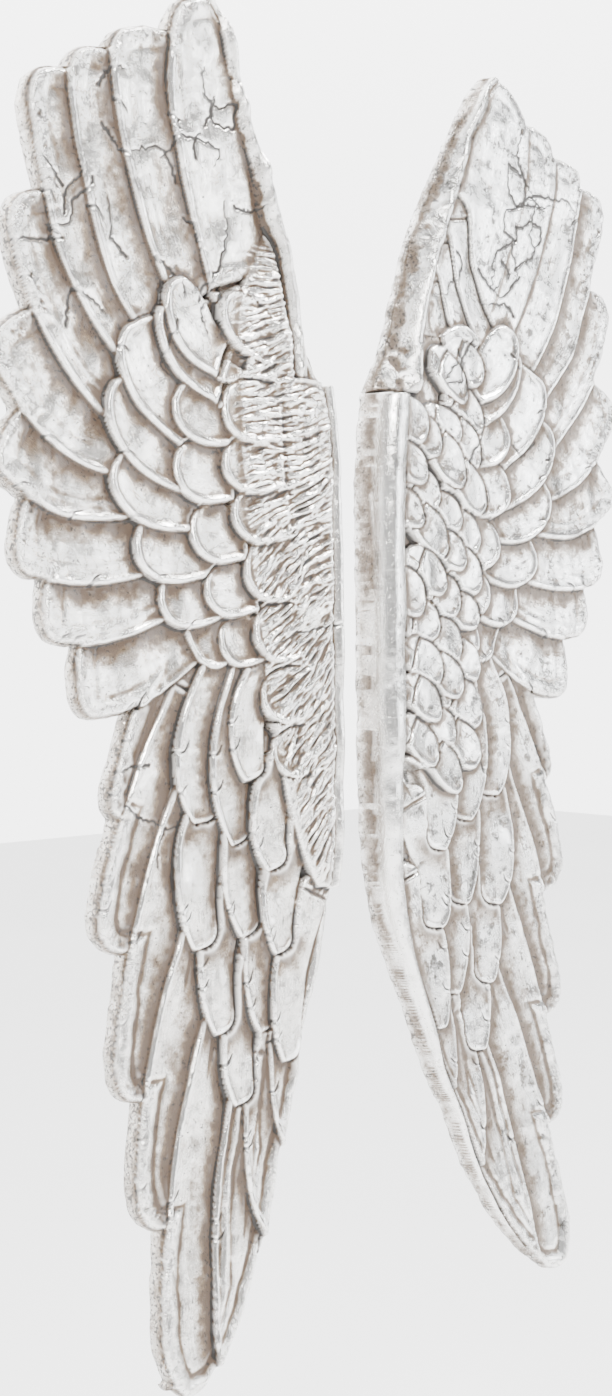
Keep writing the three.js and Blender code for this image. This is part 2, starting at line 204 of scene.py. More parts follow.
def along(knots: Points) -> Callable[[Array], Array]:
    """A smooth function through (v, value) knots, in any order of v.

    Args:
        knots: The knots.

    Returns:
        The function.
    """
    path = curve_through(tuple(sorted(knots)), 300)
    return lambda v: np.interp(v, path[:, 0], path[:, 1])


# ---------------------------------------------------------------------------------------------
# Feathers
# ---------------------------------------------------------------------------------------------


@dataclass(frozen=True)
class Cut:
    """How a kind of feather is carved. Millimetres, and shares of the length where it says so."""

    root_width: float = 0.7  # share of the full width
    round_from: float = 0.72  # share of the length where the tip starts to round off
    bluntness: float = 2.3  # 2 is a round tip and more is squarer
    tilt: float = 1.6  # rise of the lip side over the other
    crown: float = 0.9
    lip: float = 0.9
    lip_width: float = 1.9
    edge_drop: float = 2.0
    edge_radius: float = 2.6
    notches: int = 2
    under: float = 0.0  # extra width on the side that lies under the next feather
    shade: float = 7.0  # how far the painted shadow spreads out from the feather's lip and tip


@dataclass(frozen=True)
class Feather:
    """One feather: its shaft from root to tip, its width, and its height from the wall."""

    shaft: Points
    width: float
    lift: tuple[float, float]  # at the root and at the tip
    lip_side: int = 1  # 1 where the lip is on the right of the way from root to tip
    cut: Cut = Cut()

    def half_width(self, s: Array) -> Array:
        """The half width on the lip's side at shares s of the length."""
        c = self.cut
        grow = c.root_width + (1.0 - c.root_width) * smooth(s, 0.0, c.round_from)
        past = np.clip((s - c.round_from) / (1.0 - c.round_from), 0.0, 1.0)
        return 0.5 * self.width * grow * (1.0 - past**c.bluntness) ** (1.0 / c.bluntness)

    def hidden_width(self, s: Array) -> Array:
        """The half width on the other side, which is squarer at the tip."""
        c = self.cut
        if not c.under:
            return self.half_width(s)
        past = np.clip((s - 0.86) / 0.14, 0.0, 1.0)
        return (0.5 * self.width + c.under) * (1.0 - past**2.6) ** (1.0 / 2.6)

    def outline(self) -> Array:
        """The closed outline as an array of points.

        Returns:
            Its points, along the lip's edge and back along the hidden one.
        """
        s = np.concatenate([np.linspace(0.0, 0.7, 15), 1.0 - 0.3 * (1.0 - np.linspace(0, 1, 18)) ** 2])
        path = curve_through(self.shaft, 200)
        at = np.stack([np.interp(s * 199, np.arange(200), path[:, k]) for k in (0, 1)], 1)
        ahead = np.gradient(path, axis=0)
        ahead /= np.linalg.norm(ahead, axis=1)[:, None]
        way = np.stack([np.interp(s * 199, np.arange(200), ahead[:, k]) for k in (0, 1)], 1)
        lip = np.stack([way[:, 1], -way[:, 0]], 1) * self.lip_side
        lip_edge = at + lip * self.half_width(s)[:, None]
        hidden_edge = at - lip * self.hidden_width(s)[:, None]
        return np.vstack([lip_edge, hidden_edge[::-1]])


@dataclass
class Stamp:
    """A feather's shape on its window of the sheet."""

    rows: slice
    cols: slice
    edge: Array  # distance inside the outline, negative outside
    share: Array  # 0 at the root and 1 at the tip
    across: Array  # millimetres, positive towards the lip
    half: Array
    length: float


def nearest_on_path(u: Array, v: Array, path: Array) -> tuple[Array, Array, Array]:
    """The nearest point of a path to each point of a grid.

    Args:
        u: The grid's u.
        v: The grid's v.
        path: The path's points.

    Returns:
        The distance, the share of the path's length, and the side (1 on the right).
    """
    best = np.full(u.shape, 1e9)
    share = np.zeros(u.shape)
    side = np.ones(u.shape)
    count = len(path) - 1
    for k in range(count):
        (pu, pv), (du, dv) = path[k], path[k + 1] - path[k]
        ru, rv = u - pu, v - pv
        t = np.clip((ru * du + rv * dv) / max(du * du + dv * dv, 1e-9), 0.0, 1.0)
        d = (ru - t * du) ** 2 + (rv - t * dv) ** 2
        nearer = d < best
        best = np.where(nearer, d, best)
        share = np.where(nearer, (k + t) / count, share)
        side = np.where(nearer, np.where(ru * dv - rv * du >= 0, 1.0, -1.0), side)
    return np.sqrt(best), share, side


# ---------------------------------------------------------------------------------------------
# The sheet
# ---------------------------------------------------------------------------------------------


@dataclass
class Sheet:
    """The relief of one wing, as grids over u and v with a cell of one millimetre."""

    u_low: int = -16
    u_high: int = 336
    v_low: int = -6
    v_high: int = 1068
    seed: int = 1
    rng: np.random.Generator = field(init=False)

    def __post_init__(self) -> None:
        """Makes the empty grids."""
        self.rng = np.random.default_rng(self.seed)
        self.u_axis = np.arange(self.u_low, self.u_high + 1, dtype=float)
        self.v_axis = np.arange(self.v_low, self.v_high + 1, dtype=float)
        self.v, self.u = np.meshgrid(self.v_axis, self.u_axis, indexing="ij")
        shape = self.u.shape
        self.height = np.zeros(shape)
        self.inside = np.full(shape, -40.0)
        self.owner = np.full(shape, -1, int)
        self.grain = np.zeros((*shape, 2))
        self.tone = np.zeros(shape)
        self.line = np.zeros(shape)
        self.rough = np.zeros(shape)
        # Painted shadow that raised lips and strips cast beside them, later darkened into the colour.
        self.shade = np.zeros(shape)
        self.crest = np.full(shape, 22.0)

    def window(self, points: Array, margin: float) -> tuple[slice, slice]:
        """The rows and columns that hold some points and a margin round them."""
        low, high = points.min(0) - margin, points.max(0) + margin
        cols = slice(max(0, int(low[0] - self.u_low)), min(len(self.u_axis), int(high[0] - self.u_low) + 2))
        rows = slice(max(0, int(low[1] - self.v_low)), min(len(self.v_axis), int(high[1] - self.v_low) + 2))
        return rows, cols

    def stamp_of(self, feather: Feather) -> Stamp:
        """Works out where a feather lies on the sheet.

        Args:
            feather: The feather.

        Returns:
            Its stamp.
        """
        outline = feather.outline()
        rows, cols = self.window(outline, 16.0)
        u, v = self.u[rows, cols], self.v[rows, cols]
        path = curve_through(feather.shaft, 28)
        distance, share, side = nearest_on_path(u, v, path)
        to_lip = side * feather.lip_side > 0
        half = np.where(to_lip, feather.half_width(share), feather.hidden_width(share))
        rim, _, _ = nearest_on_path(u, v, np.vstack([outline, outline[:1]]))
        edge = np.where(distance < half, rim, -rim)
        length = float(np.linalg.norm(np.diff(path, axis=0), axis=1).sum())
        return Stamp(rows, cols, edge, share, distance * side * feather.lip_side, half, length)

    def carve(self, feather: Feather, tier: Tier) -> None:
        """Stamps a feather over what is there.

        Args:
            feather: The feather.
            tier: The row that it belongs to.
        """
        c = feather.cut
        st = self.stamp_of(feather)
        at = np.s_[st.rows, st.cols]
        side = np.clip(st.across / np.maximum(st.half, 1.0), -1.0, 1.0)
        low, high = feather.lift
        height = low + (high - low) * st.share + c.tilt * side + c.crown * (1.0 - side**2)
        waves = self.rng.uniform(0.0, 6.3, 2)
        run = st.share * st.length
        height += 0.35 * np.sin(run / 14.0 + waves[0] + 2.5 * side) + 0.12 * np.sin(run / 6.1 + waves[1])
        facing = np.maximum(smooth(side, -0.2, 0.45), smooth(st.share, 0.82, 0.95))
        lip = np.exp(-(((st.edge - 1.25 * c.lip_width) / c.lip_width) ** 2))
        height = height + c.lip * lip * facing
        self.crest[at] = np.where(st.edge > 0.0, height, self.crest[at])
        fall = 1.0 - np.clip(st.edge / c.edge_radius, 0.0, 1.0)
        height -= c.edge_drop * (1.0 - np.sqrt(1.0 - fall**2))
        inside = st.edge > 0.0
        # Painted shadow: past the lip and the tip, a darkening fades out over the feather below, where the
        # lip would cast its shadow.
        shade = np.exp(np.minimum(st.edge, 0.0) / c.shade) * facing
        self.shade[at] = np.where(inside, 0.0, np.maximum(self.shade[at], shade))
        self.height[at] = np.where(inside, height, self.height[at])
        self.owner[at] = np.where(inside, TIER_ORDER.index(tier), self.owner[at])
        self.inside[at] = np.maximum(self.inside[at], st.edge)
        grain = np.stack([st.share * st.length, st.across], -1) + self.rng.uniform(0, 500, 2)
        self.grain[at] = np.where(inside[..., None], grain, self.grain[at])
        self.tone[at] = np.where(inside, self.rng.uniform(-1.0, 1.0), self.tone[at])
        self.line[at] = np.where(inside, 0.0, self.line[at])
        self.rough[at] = np.where(inside, 0.0, self.rough[at])
        for _ in range(c.notches):
            self.notch(feather)

    def notch(self, feather: Feather) -> None:
        """Cuts a short split into a feather's lip, slanting back towards its root.

        Args:
            feather: The feather to split.
        """
        path = curve_through(feather.shaft, 60)
        s = self.rng.uniform(0.5, 0.93)
        k = int(s * 58)
        way = path[k + 1] - path[k]
        way /= np.linalg.norm(way)
        out = np.array([way[1], -way[0]]) * feather.lip_side
        start = path[k] + out * float(feather.half_width(np.array(s)))
        size = self.rng.uniform(7.0, 14.0)
        bend = self.rng.uniform(-2.0, 2.0)
        middle = start - out * size * 0.5 - way * (size * 0.25 + bend)
        end = start - out * size * 0.75 - way * size * 0.75
        self.crack(((start[0], start[1]), (middle[0], middle[1]), (end[0], end[1])), 1.5, 0.8, 0.0)

    def crack(self, knots: Points, depth: float, width: float, jitter: float) -> None:
        """Cuts a thin line that fades out at its end.

        Args:
            knots: Its route.
            depth: Its depth at the start.
            width: Its half width at the start.
            jitter: How far it strays from its route.
        """
        path = curve_through(knots, 26)
        path[1:-1] += self.rng.normal(0.0, 1.0, (24, 2)) * jitter
        rows, cols = self.window(path, 4.0)
        distance, share, _ = nearest_on_path(self.u[rows, cols], self.v[rows, cols], path)
        fade = 1.0 - 0.55 * share
        mark = np.exp(-((distance / (width * fade + 0.25)) ** 2)) * (0.4 + 0.6 * fade)
        self.height[rows, cols] -= depth * fade * mark
        self.line[rows, cols] = np.maximum(self.line[rows, cols], mark)

    def band(self, tier: Tier, low: Array, high: Array, v_from: float, v_to: float,
             height: Array, rough: float) -> None:
        """Lays a strip along the wing.

        Args:
            tier: The piece that it belongs to.
            low: Its inner u at each row.
            high: Its outer u at each row.
            v_from: Its lower end.
            v_to: Its upper end.
            height: Its height all over the sheet.
            rough: How pitted its surface is.
        """
        across = np.minimum(self.u - low[:, None], high[:, None] - self.u)
        edge = np.minimum(across, np.minimum(self.v - v_from, v_to - self.v))
        inside = edge > 0.0
        self.height = np.where(inside, height, self.height)
        self.crest = np.where(inside, 24.5 if tier is Tier.SPAR else 26.5, self.crest)
        self.owner = np.where(inside, TIER_ORDER.index(tier), self.owner)
        self.inside = np.maximum(self.inside, edge)
        grain = np.stack([self.v, self.u], -1)
        self.grain = np.where(inside[..., None], grain, self.grain)
        self.tone = np.where(inside, 0.3, self.tone)
        self.line = np.where(inside, 0.0, self.line)
        # Painted shadow beside the strip, fading out over a few millimetres.
        near = np.exp(np.minimum(edge, 0.0) / 5.0) * 0.8
        self.shade = np.where(inside, 0.0, np.maximum(self.shade, near))
        self.rough = np.where(inside, rough, self.rough)

    def strand(self, start: tuple[float, float], angle: float, length: float, width: float,
               rise: float) -> None:
        """Raises one lock of down: a tapered ridge.

        Args:
            start: Where it springs from.
            angle: Its direction, in degrees below the way out.
            length: Its length.
            width: Its half width.
            rise: Its height.
        """
        a = math.radians(angle)
        way = np.array([math.cos(a), -math.sin(a)])
        curl = np.array([-way[1], way[0]]) * self.rng.uniform(-0.12, 0.12) * length
        begin = np.array(start)
        knots = (tuple(begin), tuple(begin + way * length * 0.5 + curl), tuple(begin + way * length))
        path = curve_through(knots, 8)
        rows, cols = self.window(path, 4.0)
        u, v = self.u[rows, cols], self.v[rows, cols]
        distance, share, _ = nearest_on_path(u, v, path)
        taper = np.sqrt(np.clip(1.0 - (2.0 * share - 0.9) ** 2 * 0.9, 0.0, 1.0))
        ridge = np.clip(1.0 - (distance / (width * taper + 0.2)) ** 2, 0.0, 1.0)
        self.height[rows, cols] += rise * np.sqrt(ridge) * taper
        inside = ridge > 0.1
        grain = np.stack([share * length, distance], -1)
        self.grain[rows, cols] = np.where(inside[..., None], grain, self.grain[rows, cols])


# ---------------------------------------------------------------------------------------------
# The wing's layout
# ---------------------------------------------------------------------------------------------

FLIGHT = Cut(root_width=0.8, round_from=0.84, bluntness=2.4, tilt=3.0, crown=1.2, lip=1.3,
             lip_width=2.4, edge_drop=4.0, edge_radius=3.6, notches=2, under=22.0, shade=13.0)
LANCE = Cut(root_width=0.75, round_from=0.42, bluntness=1.7, tilt=2.6, crown=1.3, lip=1.5,
            lip_width=2.0, edge_drop=3.6, edge_radius=3.0, notches=2, under=3.0, shade=12.0)
SMOOTH = Cut(root_width=0.9, round_from=0.7, tilt=0.8, crown=1.6, lip=0.1, edge_drop=1.2,
             edge_radius=5.0, notches=0, under=26.0, shade=2.0)
SCALE = Cut(root_width=0.85, round_from=0.5, bluntness=2.1, tilt=1.6, crown=-0.9, lip=2.0,
            lip_width=2.8, edge_drop=4.2, edge_radius=4.0, notches=0, shade=6.0)
LONG_SCALE = Cut(root_width=0.8, round_from=0.62, bluntness=2.1, tilt=2.4, crown=-0.4, lip=1.8,
                 lip_width=2.6, edge_drop=4.2, edge_radius=4.0, notches=1, under=8.0, shade=7.0)
BEAD = Cut(root_width=0.9, round_from=0.35, bluntness=2.0, tilt=1.8, crown=-1.0, lip=2.2,
           lip_width=2.6, edge_drop=4.0, edge_radius=4.0, notches=0, shade=4.0)


def row(tier: Tier, cut: Cut, lip_side: int, *feathers: tuple) -> list[tuple[Tier, Feather]]:
    """Feathers of one tier that share their cut, in the order in which they are laid.

    Args:
        tier: The tier.
        cut: How they are carved.
        lip_side: Which side their lips are on.
        feathers: For each one its shaft, its width, and its lift at the root and at the tip.

    Returns:
        The tier and feather pairs.
    """
    return [(tier, Feather(shaft, width, lift, lip_side, cut)) for shaft, width, lift in feathers]


def flights() -> list[tuple[Tier, Feather]]:
    """The long feathers, lowest first: the hand's, then the arm's up to the top.

    Returns:
        Each feather with the tier that it belongs to.
    """
    hand = row(
        Tier.PRIMARIES, FLIGHT, -1,
        (((160, 580), (184, 520), (200, 470), (213, 432)), 46, (27, 27)),
        (((150, 530), (184, 460), (207, 395), (220, 335)), 56, (27, 27)),
        (((140, 470), (175, 385), (196, 300), (211, 222)), 56, (27.5, 27)),
        (((130, 380), (165, 285), (187, 200), (199, 125)), 56, (28, 27)),
        (((115, 310), (155, 205), (178, 110), (187, 50), (185, 1)), 48, (28, 26)),
    )
    inner = row(
        Tier.PRIMARIES, LANCE, -1,
        (((95, 260), (122, 150), (141, 75), (160, 14)), 48, (28.5, 27.5)),
        (((62, 300), (88, 210), (99, 150), (101, 100)), 50, (29, 29)),
        (((30, 360), (58, 280), (70, 220), (76, 165)), 46, (29, 30)),
    )
    arm = row(
        Tier.SECONDARIES, FLIGHT, 1,
        (((140, 580), (190, 552), (225, 541), (255, 541)), 54, (28, 27)),
        (((150, 618), (190, 602), (240, 592), (284, 596)), 50, (28.2, 27)),
        (((165, 650), (210, 639), (255, 638), (304, 648)), 54, (28.4, 27)),
        (((180, 688), (225, 684), (265, 690), (313, 722)), 56, (28.6, 27)),
        (((190, 706), (240, 722), (272, 746), (310, 800)), 54, (28.8, 27)),
        (((190, 730), (236, 776), (266, 822), (291, 894)), 56, (29, 27)),
    )
    top = row(
        Tier.TERTIALS, FLIGHT, 1,
        (((195, 785), (238, 842), (258, 905), (276, 983)), 52, (29.2, 27.5)),
        (((172, 800), (206, 850), (226, 915), (243, 1003)), 50, (29.4, 28)),
        (((145, 830), (172, 890), (191, 955), (205, 1025)), 56, (29.6, 28.5)),
        (((100, 850), (122, 920), (135, 985), (133, 1058)), 80, (30, 29)),
    )
    return hand + inner + arm + top


def smooth_top() -> list[tuple[Tier, Feather]]:
    """The other wing's top, where the long feathers run together in one smooth slope.

    Returns:
        Each feather with the tier that it belongs to.
    """
    slope = row(
        Tier.TERTIALS, SMOOTH, 1,
        (((120, 800), (165, 880), (191, 955), (204, 1024)), 62, (30.5, 29)),
        (((90, 840), (120, 910), (138, 985), (136, 1057)), 96, (31, 30)),
    )
    leaves = row(
        Tier.TERTIALS, LANCE, 1,
        (((92, 930), (100, 890), (120, 850), (142, 815)), 40, (31.5, 31)),
        (((70, 905), (80, 870), (98, 835), (122, 800)), 40, (33, 32)),
        (((60, 870), (72, 835), (92, 800), (112, 780)), 38, (34, 33)),
    )
    return slope + leaves


def coverts() -> list[tuple[Tier, Feather]]:
    """The shorter rows over the flights, lowest first.

    Returns:
        Each feather with the tier that it belongs to.
    """
    hand = row(
        Tier.PRIMARY_COVERTS, LANCE, -1,
        (((92, 330), (110, 285), (119, 245), (122, 205)), 36, (31, 31)),
        (((112, 400), (130, 345), (137, 300), (137, 262)), 38, (31, 31)),
        (((128, 470), (146, 415), (153, 370), (153, 330)), 44, (31, 31)),
        (((120, 560), (140, 510), (150, 470), (151, 428)), 48, (31.5, 31)),
        (((75, 400), (88, 345), (94, 300), (94, 258)), 38, (32, 32)),
        (((90, 480), (106, 420), (110, 375), (108, 335)), 40, (32.5, 32)),
        (((95, 560), (112, 500), (118, 455), (115, 408)), 44, (33, 32.5)),
    )
    inner = row(
        Tier.BASTARD_FEATHERS, LANCE, -1,
        (((35, 365), (58, 315), (68, 270), (73, 232)), 38, (33.5, 33)),
        (((45, 430), (66, 385), (74, 350), (76, 318)), 38, (34.5, 33.5)),
        (((55, 490), (76, 450), (82, 415), (80, 385)), 38, (35.5, 34.5)),
        (((80, 560), (98, 520), (104, 490), (102, 458)), 38, (36, 35)),
    )
    greater = row(
        Tier.GREATER_COVERTS, LONG_SCALE, 1,
        (((100, 585), (128, 572), (150, 560)), 46, (33, 33)),
        (((112, 612), (150, 603), (182, 606)), 48, (33, 33)),
        (((130, 640), (170, 638), (204, 650)), 50, (33, 33)),
        (((140, 672), (186, 680), (222, 706)), 50, (33.2, 33)),
        (((140, 695), (190, 722), (220, 766)), 52, (33.4, 33)),
        (((145, 730), (182, 762), (208, 808)), 50, (33.8, 33.2)),
    )
    median = row(
        Tier.MEDIAN_COVERTS, SCALE, 1,
        (((80, 572), (104, 570), (128, 568)), 44, (36, 36)),
        (((88, 612), (114, 610), (142, 610)), 46, (36, 36)),
        (((98, 654), (128, 654), (155, 656)), 50, (36.4, 36)),
        (((110, 700), (140, 701), (169, 708)), 52, (36.8, 36)),
        (((108, 742), (138, 746), (167, 758)), 52, (37, 36)),
        (((120, 765), (152, 785), (180, 824)), 36, (36, 35)),
        (((118, 790), (146, 806), (168, 846)), 46, (37, 36.5)),
    )
    lesser = row(
        Tier.LESSER_COVERTS, SCALE, 1,
        (((30, 484), (55, 480), (76, 474)), 44, (40, 38)),
        (((36, 530), (64, 526), (88, 523)), 48, (41, 38.5)),
        (((42, 578), (70, 576), (95, 575)), 50, (41, 39)),
        (((48, 628), (78, 626), (104, 625)), 54, (41, 39)),
        (((58, 672), (88, 670), (115, 671)), 50, (41, 39)),
        (((64, 710), (96, 708), (124, 709)), 48, (41, 39)),
        (((66, 752), (96, 750), (124, 752)), 52, (41, 39)),
        (((68, 800), (92, 812), (122, 836)), 44, (40, 38)),
    )
    return hand + inner + greater + median + lesser


@dataclass(frozen=True)
class CrackedPatch:
    """A part of a wing that cracked as the casting shrank. Millimetres out and up, and degrees."""

    middle: tuple[float, float]
    spread: tuple[float, float]
    count: int
    seed: int
    stride: tuple[float, float] = (9.0, 19.0)
    swerve: float = 42.0
    forks: float = 0.35  # the share of cracks that branch off an earlier one

    def routes(self) -> list[Points]:
        """Lets each crack wander, from a fresh place or from a bend of an earlier crack.

        Returns:
            The bends of each crack, in order.
        """
        rng = np.random.default_rng(self.seed)
        found: list[Points] = []
        for _ in range(self.count):
            if found and rng.random() < self.forks:
                parent = found[int(rng.integers(len(found)))]
                place = np.array(parent[int(rng.integers(len(parent)))])
            else:
                place = np.array(self.middle) + rng.uniform(-1.0, 1.0, 2) * np.array(self.spread)
            heading = rng.uniform(0.0, 2 * math.pi)
            bends = [place]
            for _ in range(int(rng.integers(2, 5))):
                way = np.array((math.cos(heading), math.sin(heading)))
                bends.append(bends[-1] + rng.uniform(*self.stride) * way)
                heading += math.radians(rng.normal(0.0, self.swerve))
            found.append(tuple((float(u), float(v)) for u, v in bends))
        return found


# The upper flights of both wings are cracked, and a few coverts of the left one.
CRACKED: dict[Side, tuple[CrackedPatch, ...]] = {
    Side.LEFT: (CrackedPatch((185, 860), (90, 120), 24, 4), CrackedPatch((200, 460), (20, 30), 3, 9)),
    Side.RIGHT: (CrackedPatch((155, 840), (75, 120), 24, 7),),
}
# The joint across the left wing's leading edge, where its lesser coverts end.
EDGE_JOINT: Points = ((0.0, 583.0), (40.0, 578.0), (76.0, 567.0))


@dataclass(frozen=True)
class LeadingEdge:
    """The wing's inner edge, and the strips that lie along it. Knots are (height up, value)."""

    wall: Points = ((1062, 136), (1026, 106), (984, 88), (933, 64), (902, 51), (850, 33), (808, 20),
                    (778, 9), (740, 4), (693, 1), (600, 0), (467, 0), (380, 4), (314, 18), (250, 44),
                    (200, 60), (160, 78), (100, 101), (41, 136), (0, 178))
    front: Points = ((1062, 142), (1040, 122), (1000, 107), (962, 95), (940, 84), (897, 71),
                     (877, 61), (820, 50), (770, 46))
    step: float = 777.0  # where the rough rim gives way to the smooth spar
    spar_width: Points = ((777, 30), (700, 32), (560, 31), (400, 26), (300, 20), (200, 13),
                          (100, 8), (20, 4))
    spar_front: Points = ((777, 50), (600, 50.5), (450, 49), (330, 42), (220, 36), (120, 31),
                          (20, 26))
    down_from: Points = ((870, 52), (800, 34), (760, 24), (700, 18), (560, 16), (420, 14), (370, 16))
    down_to: Points = ((892, 78), (875, 86), (850, 98), (820, 108), (780, 106), (700, 104), (620, 94),
                       (540, 82), (450, 64), (400, 48), (366, 30))
    down_ends: tuple[float, float] = (368.0, 892.0)
    lean: Points = ((870, 8), (760, 14), (660, 28), (560, 42), (460, 56), (370, 66))
    spar_from: float = 20.0
    beads: bool = False


@dataclass
class WingRelief:
    """One wing's relief, carved from the flights up to the leading edge."""

    side: Side
    edge: LeadingEdge

    def build(self) -> Sheet:
        """Carves the whole wing.

        Returns:
            The finished sheet.
        """
        sheet = Sheet(seed=11 if self.side is Side.LEFT else 23)
        long_ones = flights()
        if self.edge.beads:
            long_ones = long_ones[:-2] + smooth_top()
        self.bed(sheet)
        for tier, feather in long_ones + coverts():
            sheet.carve(feather, tier)
        if self.edge.beads:
            self.beads(sheet)
        else:
            self.down(sheet)
        self.rim(sheet)
        self.spar(sheet)
        routes = [route for patch in CRACKED[self.side] for route in patch.routes()]
        if self.side is Side.LEFT:
            routes.append(EDGE_JOINT)
        for route in routes:
            sheet.crack(route, 1.6, 0.75, 0.8)
        sheet.inside = np.minimum(sheet.inside, sheet.u - self.outer(sheet)[:, None])
        self.finish(sheet)
        return sheet

    def outer(self, sheet: Sheet) -> Array:
        """The leading edge's u at each row, uneven along the rough rim and true along the spar."""
        rows = sheet.v_axis
        waver = 2.0 + 4.0 * value_noise((len(rows), 2), (31, 2), 61)[:, 0]
        return along(self.edge.wall)(rows) + waver * smooth(rows, self.edge.step, self.edge.step + 40)

    def bed(self, sheet: Sheet) -> None:
        """Lays the plain ground along the lower leading edge, which the feathers only half cover."""
        wall = along(self.edge.wall)(sheet.v_axis)
        height = 27.0 + 0.6 * value_noise(sheet.u.shape, (30, 9), 51)
        sheet.band(Tier.PRIMARIES, wall, wall + 44.0, 10.0, 420.0, height, 0.15)

    def down(self, sheet: Sheet) -> None:
        """Lays the bed of down and combs its locks, from the outer edge inwards.

        Args:
            sheet: The wing's sheet.
        """
        e = self.edge
        rows = sheet.v_axis
        low, high = along(e.down_from)(rows), along(e.down_to)(rows)
        lumps = 1.6 * value_noise(sheet.u.shape, (22, 14), 5)
        across = (sheet.u - low[:, None]) / np.maximum(high - low, 1.0)[:, None]
        height = 44.5 - 5.5 * np.clip(across, 0.0, 1.0) ** 1.6 + lumps
        height = height - 9.5 * smooth(rows, 795.0, 890.0)[:, None]
        keep = sheet.owner.copy()
        before = sheet.height.copy()
        sheet.band(Tier.DOWN_PANEL, low, high, *e.down_ends, height, 0.35)
        # Towards its outer edge the bed melts into the scales that it half covers.
        melt = smooth(across, 0.45, 0.72) * (sheet.owner == TIER_ORDER.index(Tier.DOWN_PANEL))
        scale = np.isin(keep, [TIER_ORDER.index(t) for t in (Tier.LESSER_COVERTS, Tier.MEDIAN_COVERTS)])
        back = (across > 0.86) & scale
        sheet.height = np.where(scale, sheet.height * (1 - melt) + before * melt, sheet.height)
        sheet.owner = np.where(back, keep, sheet.owner)
        lean = along(e.lean)
        for v in np.arange(e.down_ends[0] + 6, e.down_ends[1] - 2, 2.9):
            start, stop = float(along(e.down_from)(v)), float(along(e.down_to)(v))
            for u in np.arange(stop - 20.0, start - 2.0, -5.4):
                at = (u + sheet.rng.uniform(-3, 3), v + sheet.rng.uniform(-2, 2))
                swirl = 15.0 * math.sin(at[0] / 19.0 + 1.3) * math.sin(at[1] / 27.0)
                angle = float(lean(v)) + swirl + sheet.rng.normal(0.0, 4.5)
                size = sheet.rng.uniform(15.0, 32.0)
                sheet.strand(at, angle, size, sheet.rng.uniform(0.9, 1.4), sheet.rng.uniform(0.5, 1.3))

    def beads(self, sheet: Sheet) -> None:
        """Lays the small round feathers along the leading edge, outer columns first.

        Args:
            sheet: The wing's sheet.
        """
        e = self.edge
        rows = sheet.v_axis
        ground = 34.0 + 0.8 * value_noise(sheet.u.shape, (12, 12), 52)
        low, high = along(e.down_from)(rows), along(e.down_to)(rows) - 24.0
        sheet.band(Tier.DOWN_PANEL, low, high, 470.0, 830.0, ground, 0.4)
        for column in range(4):
            for k in range(10):
                v = 808.0 - 37.0 * k - 18.0 * (column % 2) + sheet.rng.uniform(-5, 5)
                u = 120.0 - 25.0 * column - 0.04 * (790.0 - v) + sheet.rng.uniform(-5, 5)
                if u < (86.0 if v > 765.0 else 40.0):
                    continue
                lean = sheet.rng.uniform(-6, 6)
                shaft = ((u - 18, v + 12 + lean), (u, v + 2), (u + 16, v - 12 - lean))
                lift = (39.0 + 1.3 * column, 37.0 + 1.0 * column)
                tier = Tier.DOWN_PANEL if column > 1 else Tier.LESSER_COVERTS
                sheet.carve(Feather(shaft, sheet.rng.uniform(34, 43), lift, 1, BEAD), tier)

    def rim(self, sheet: Sheet) -> None:
        """The rough, sloping rim from the spar's end up to the top.

        Args:
            sheet: The wing's sheet.
        """
        e = self.edge
        rows = sheet.v_axis
        wall, front = self.outer(sheet), along(e.front)(rows)
        inner = front + 9.0
        slope = smooth((sheet.u - wall[:, None]) / np.maximum(front - wall, 1.0)[:, None], -0.15, 1.0)
        fall = smooth((sheet.u - front[:, None]) / (inner - front)[:, None], 0.1, 1.0)
        crest = 43.0 - 9.0 * smooth(rows, 860, 1060)[:, None]
        lumps = 3.4 * value_noise(sheet.u.shape, (23, 13), 31)
        lumps = lumps + 1.5 * value_noise(sheet.u.shape, (9, 7), 32)
        height = 18.0 + (crest - 18.0) * slope - (crest - 32.0) * fall + lumps
        sheet.band(Tier.SHOULDER_RIM, wall, inner, e.step + 1.0, 1058.0, height, 0.6)

    def spar(self, sheet: Sheet) -> None:
        """The smooth roll from the step down to the tip.

        Args:
            sheet: The wing's sheet.
        """
        e = self.edge
        rows = sheet.v_axis
        wall, width = along(e.wall)(rows), along(e.spar_width)(rows)
        top = along(e.spar_front)(rows)[:, None]
        x = (sheet.u - wall[:, None]) / width[:, None]
        roll = (1.0 - np.abs(np.clip(1.0 - 2.0 * x, -1.0, 1.0)) ** 2.1) ** (1 / 2.1)
        foot = np.where(x < 0.5, 15.0, top - 14.0)
        height = foot + (top - foot) * roll
        sheet.band(Tier.SPAR, wall, wall + width, e.spar_from, e.step, height, 0.15)

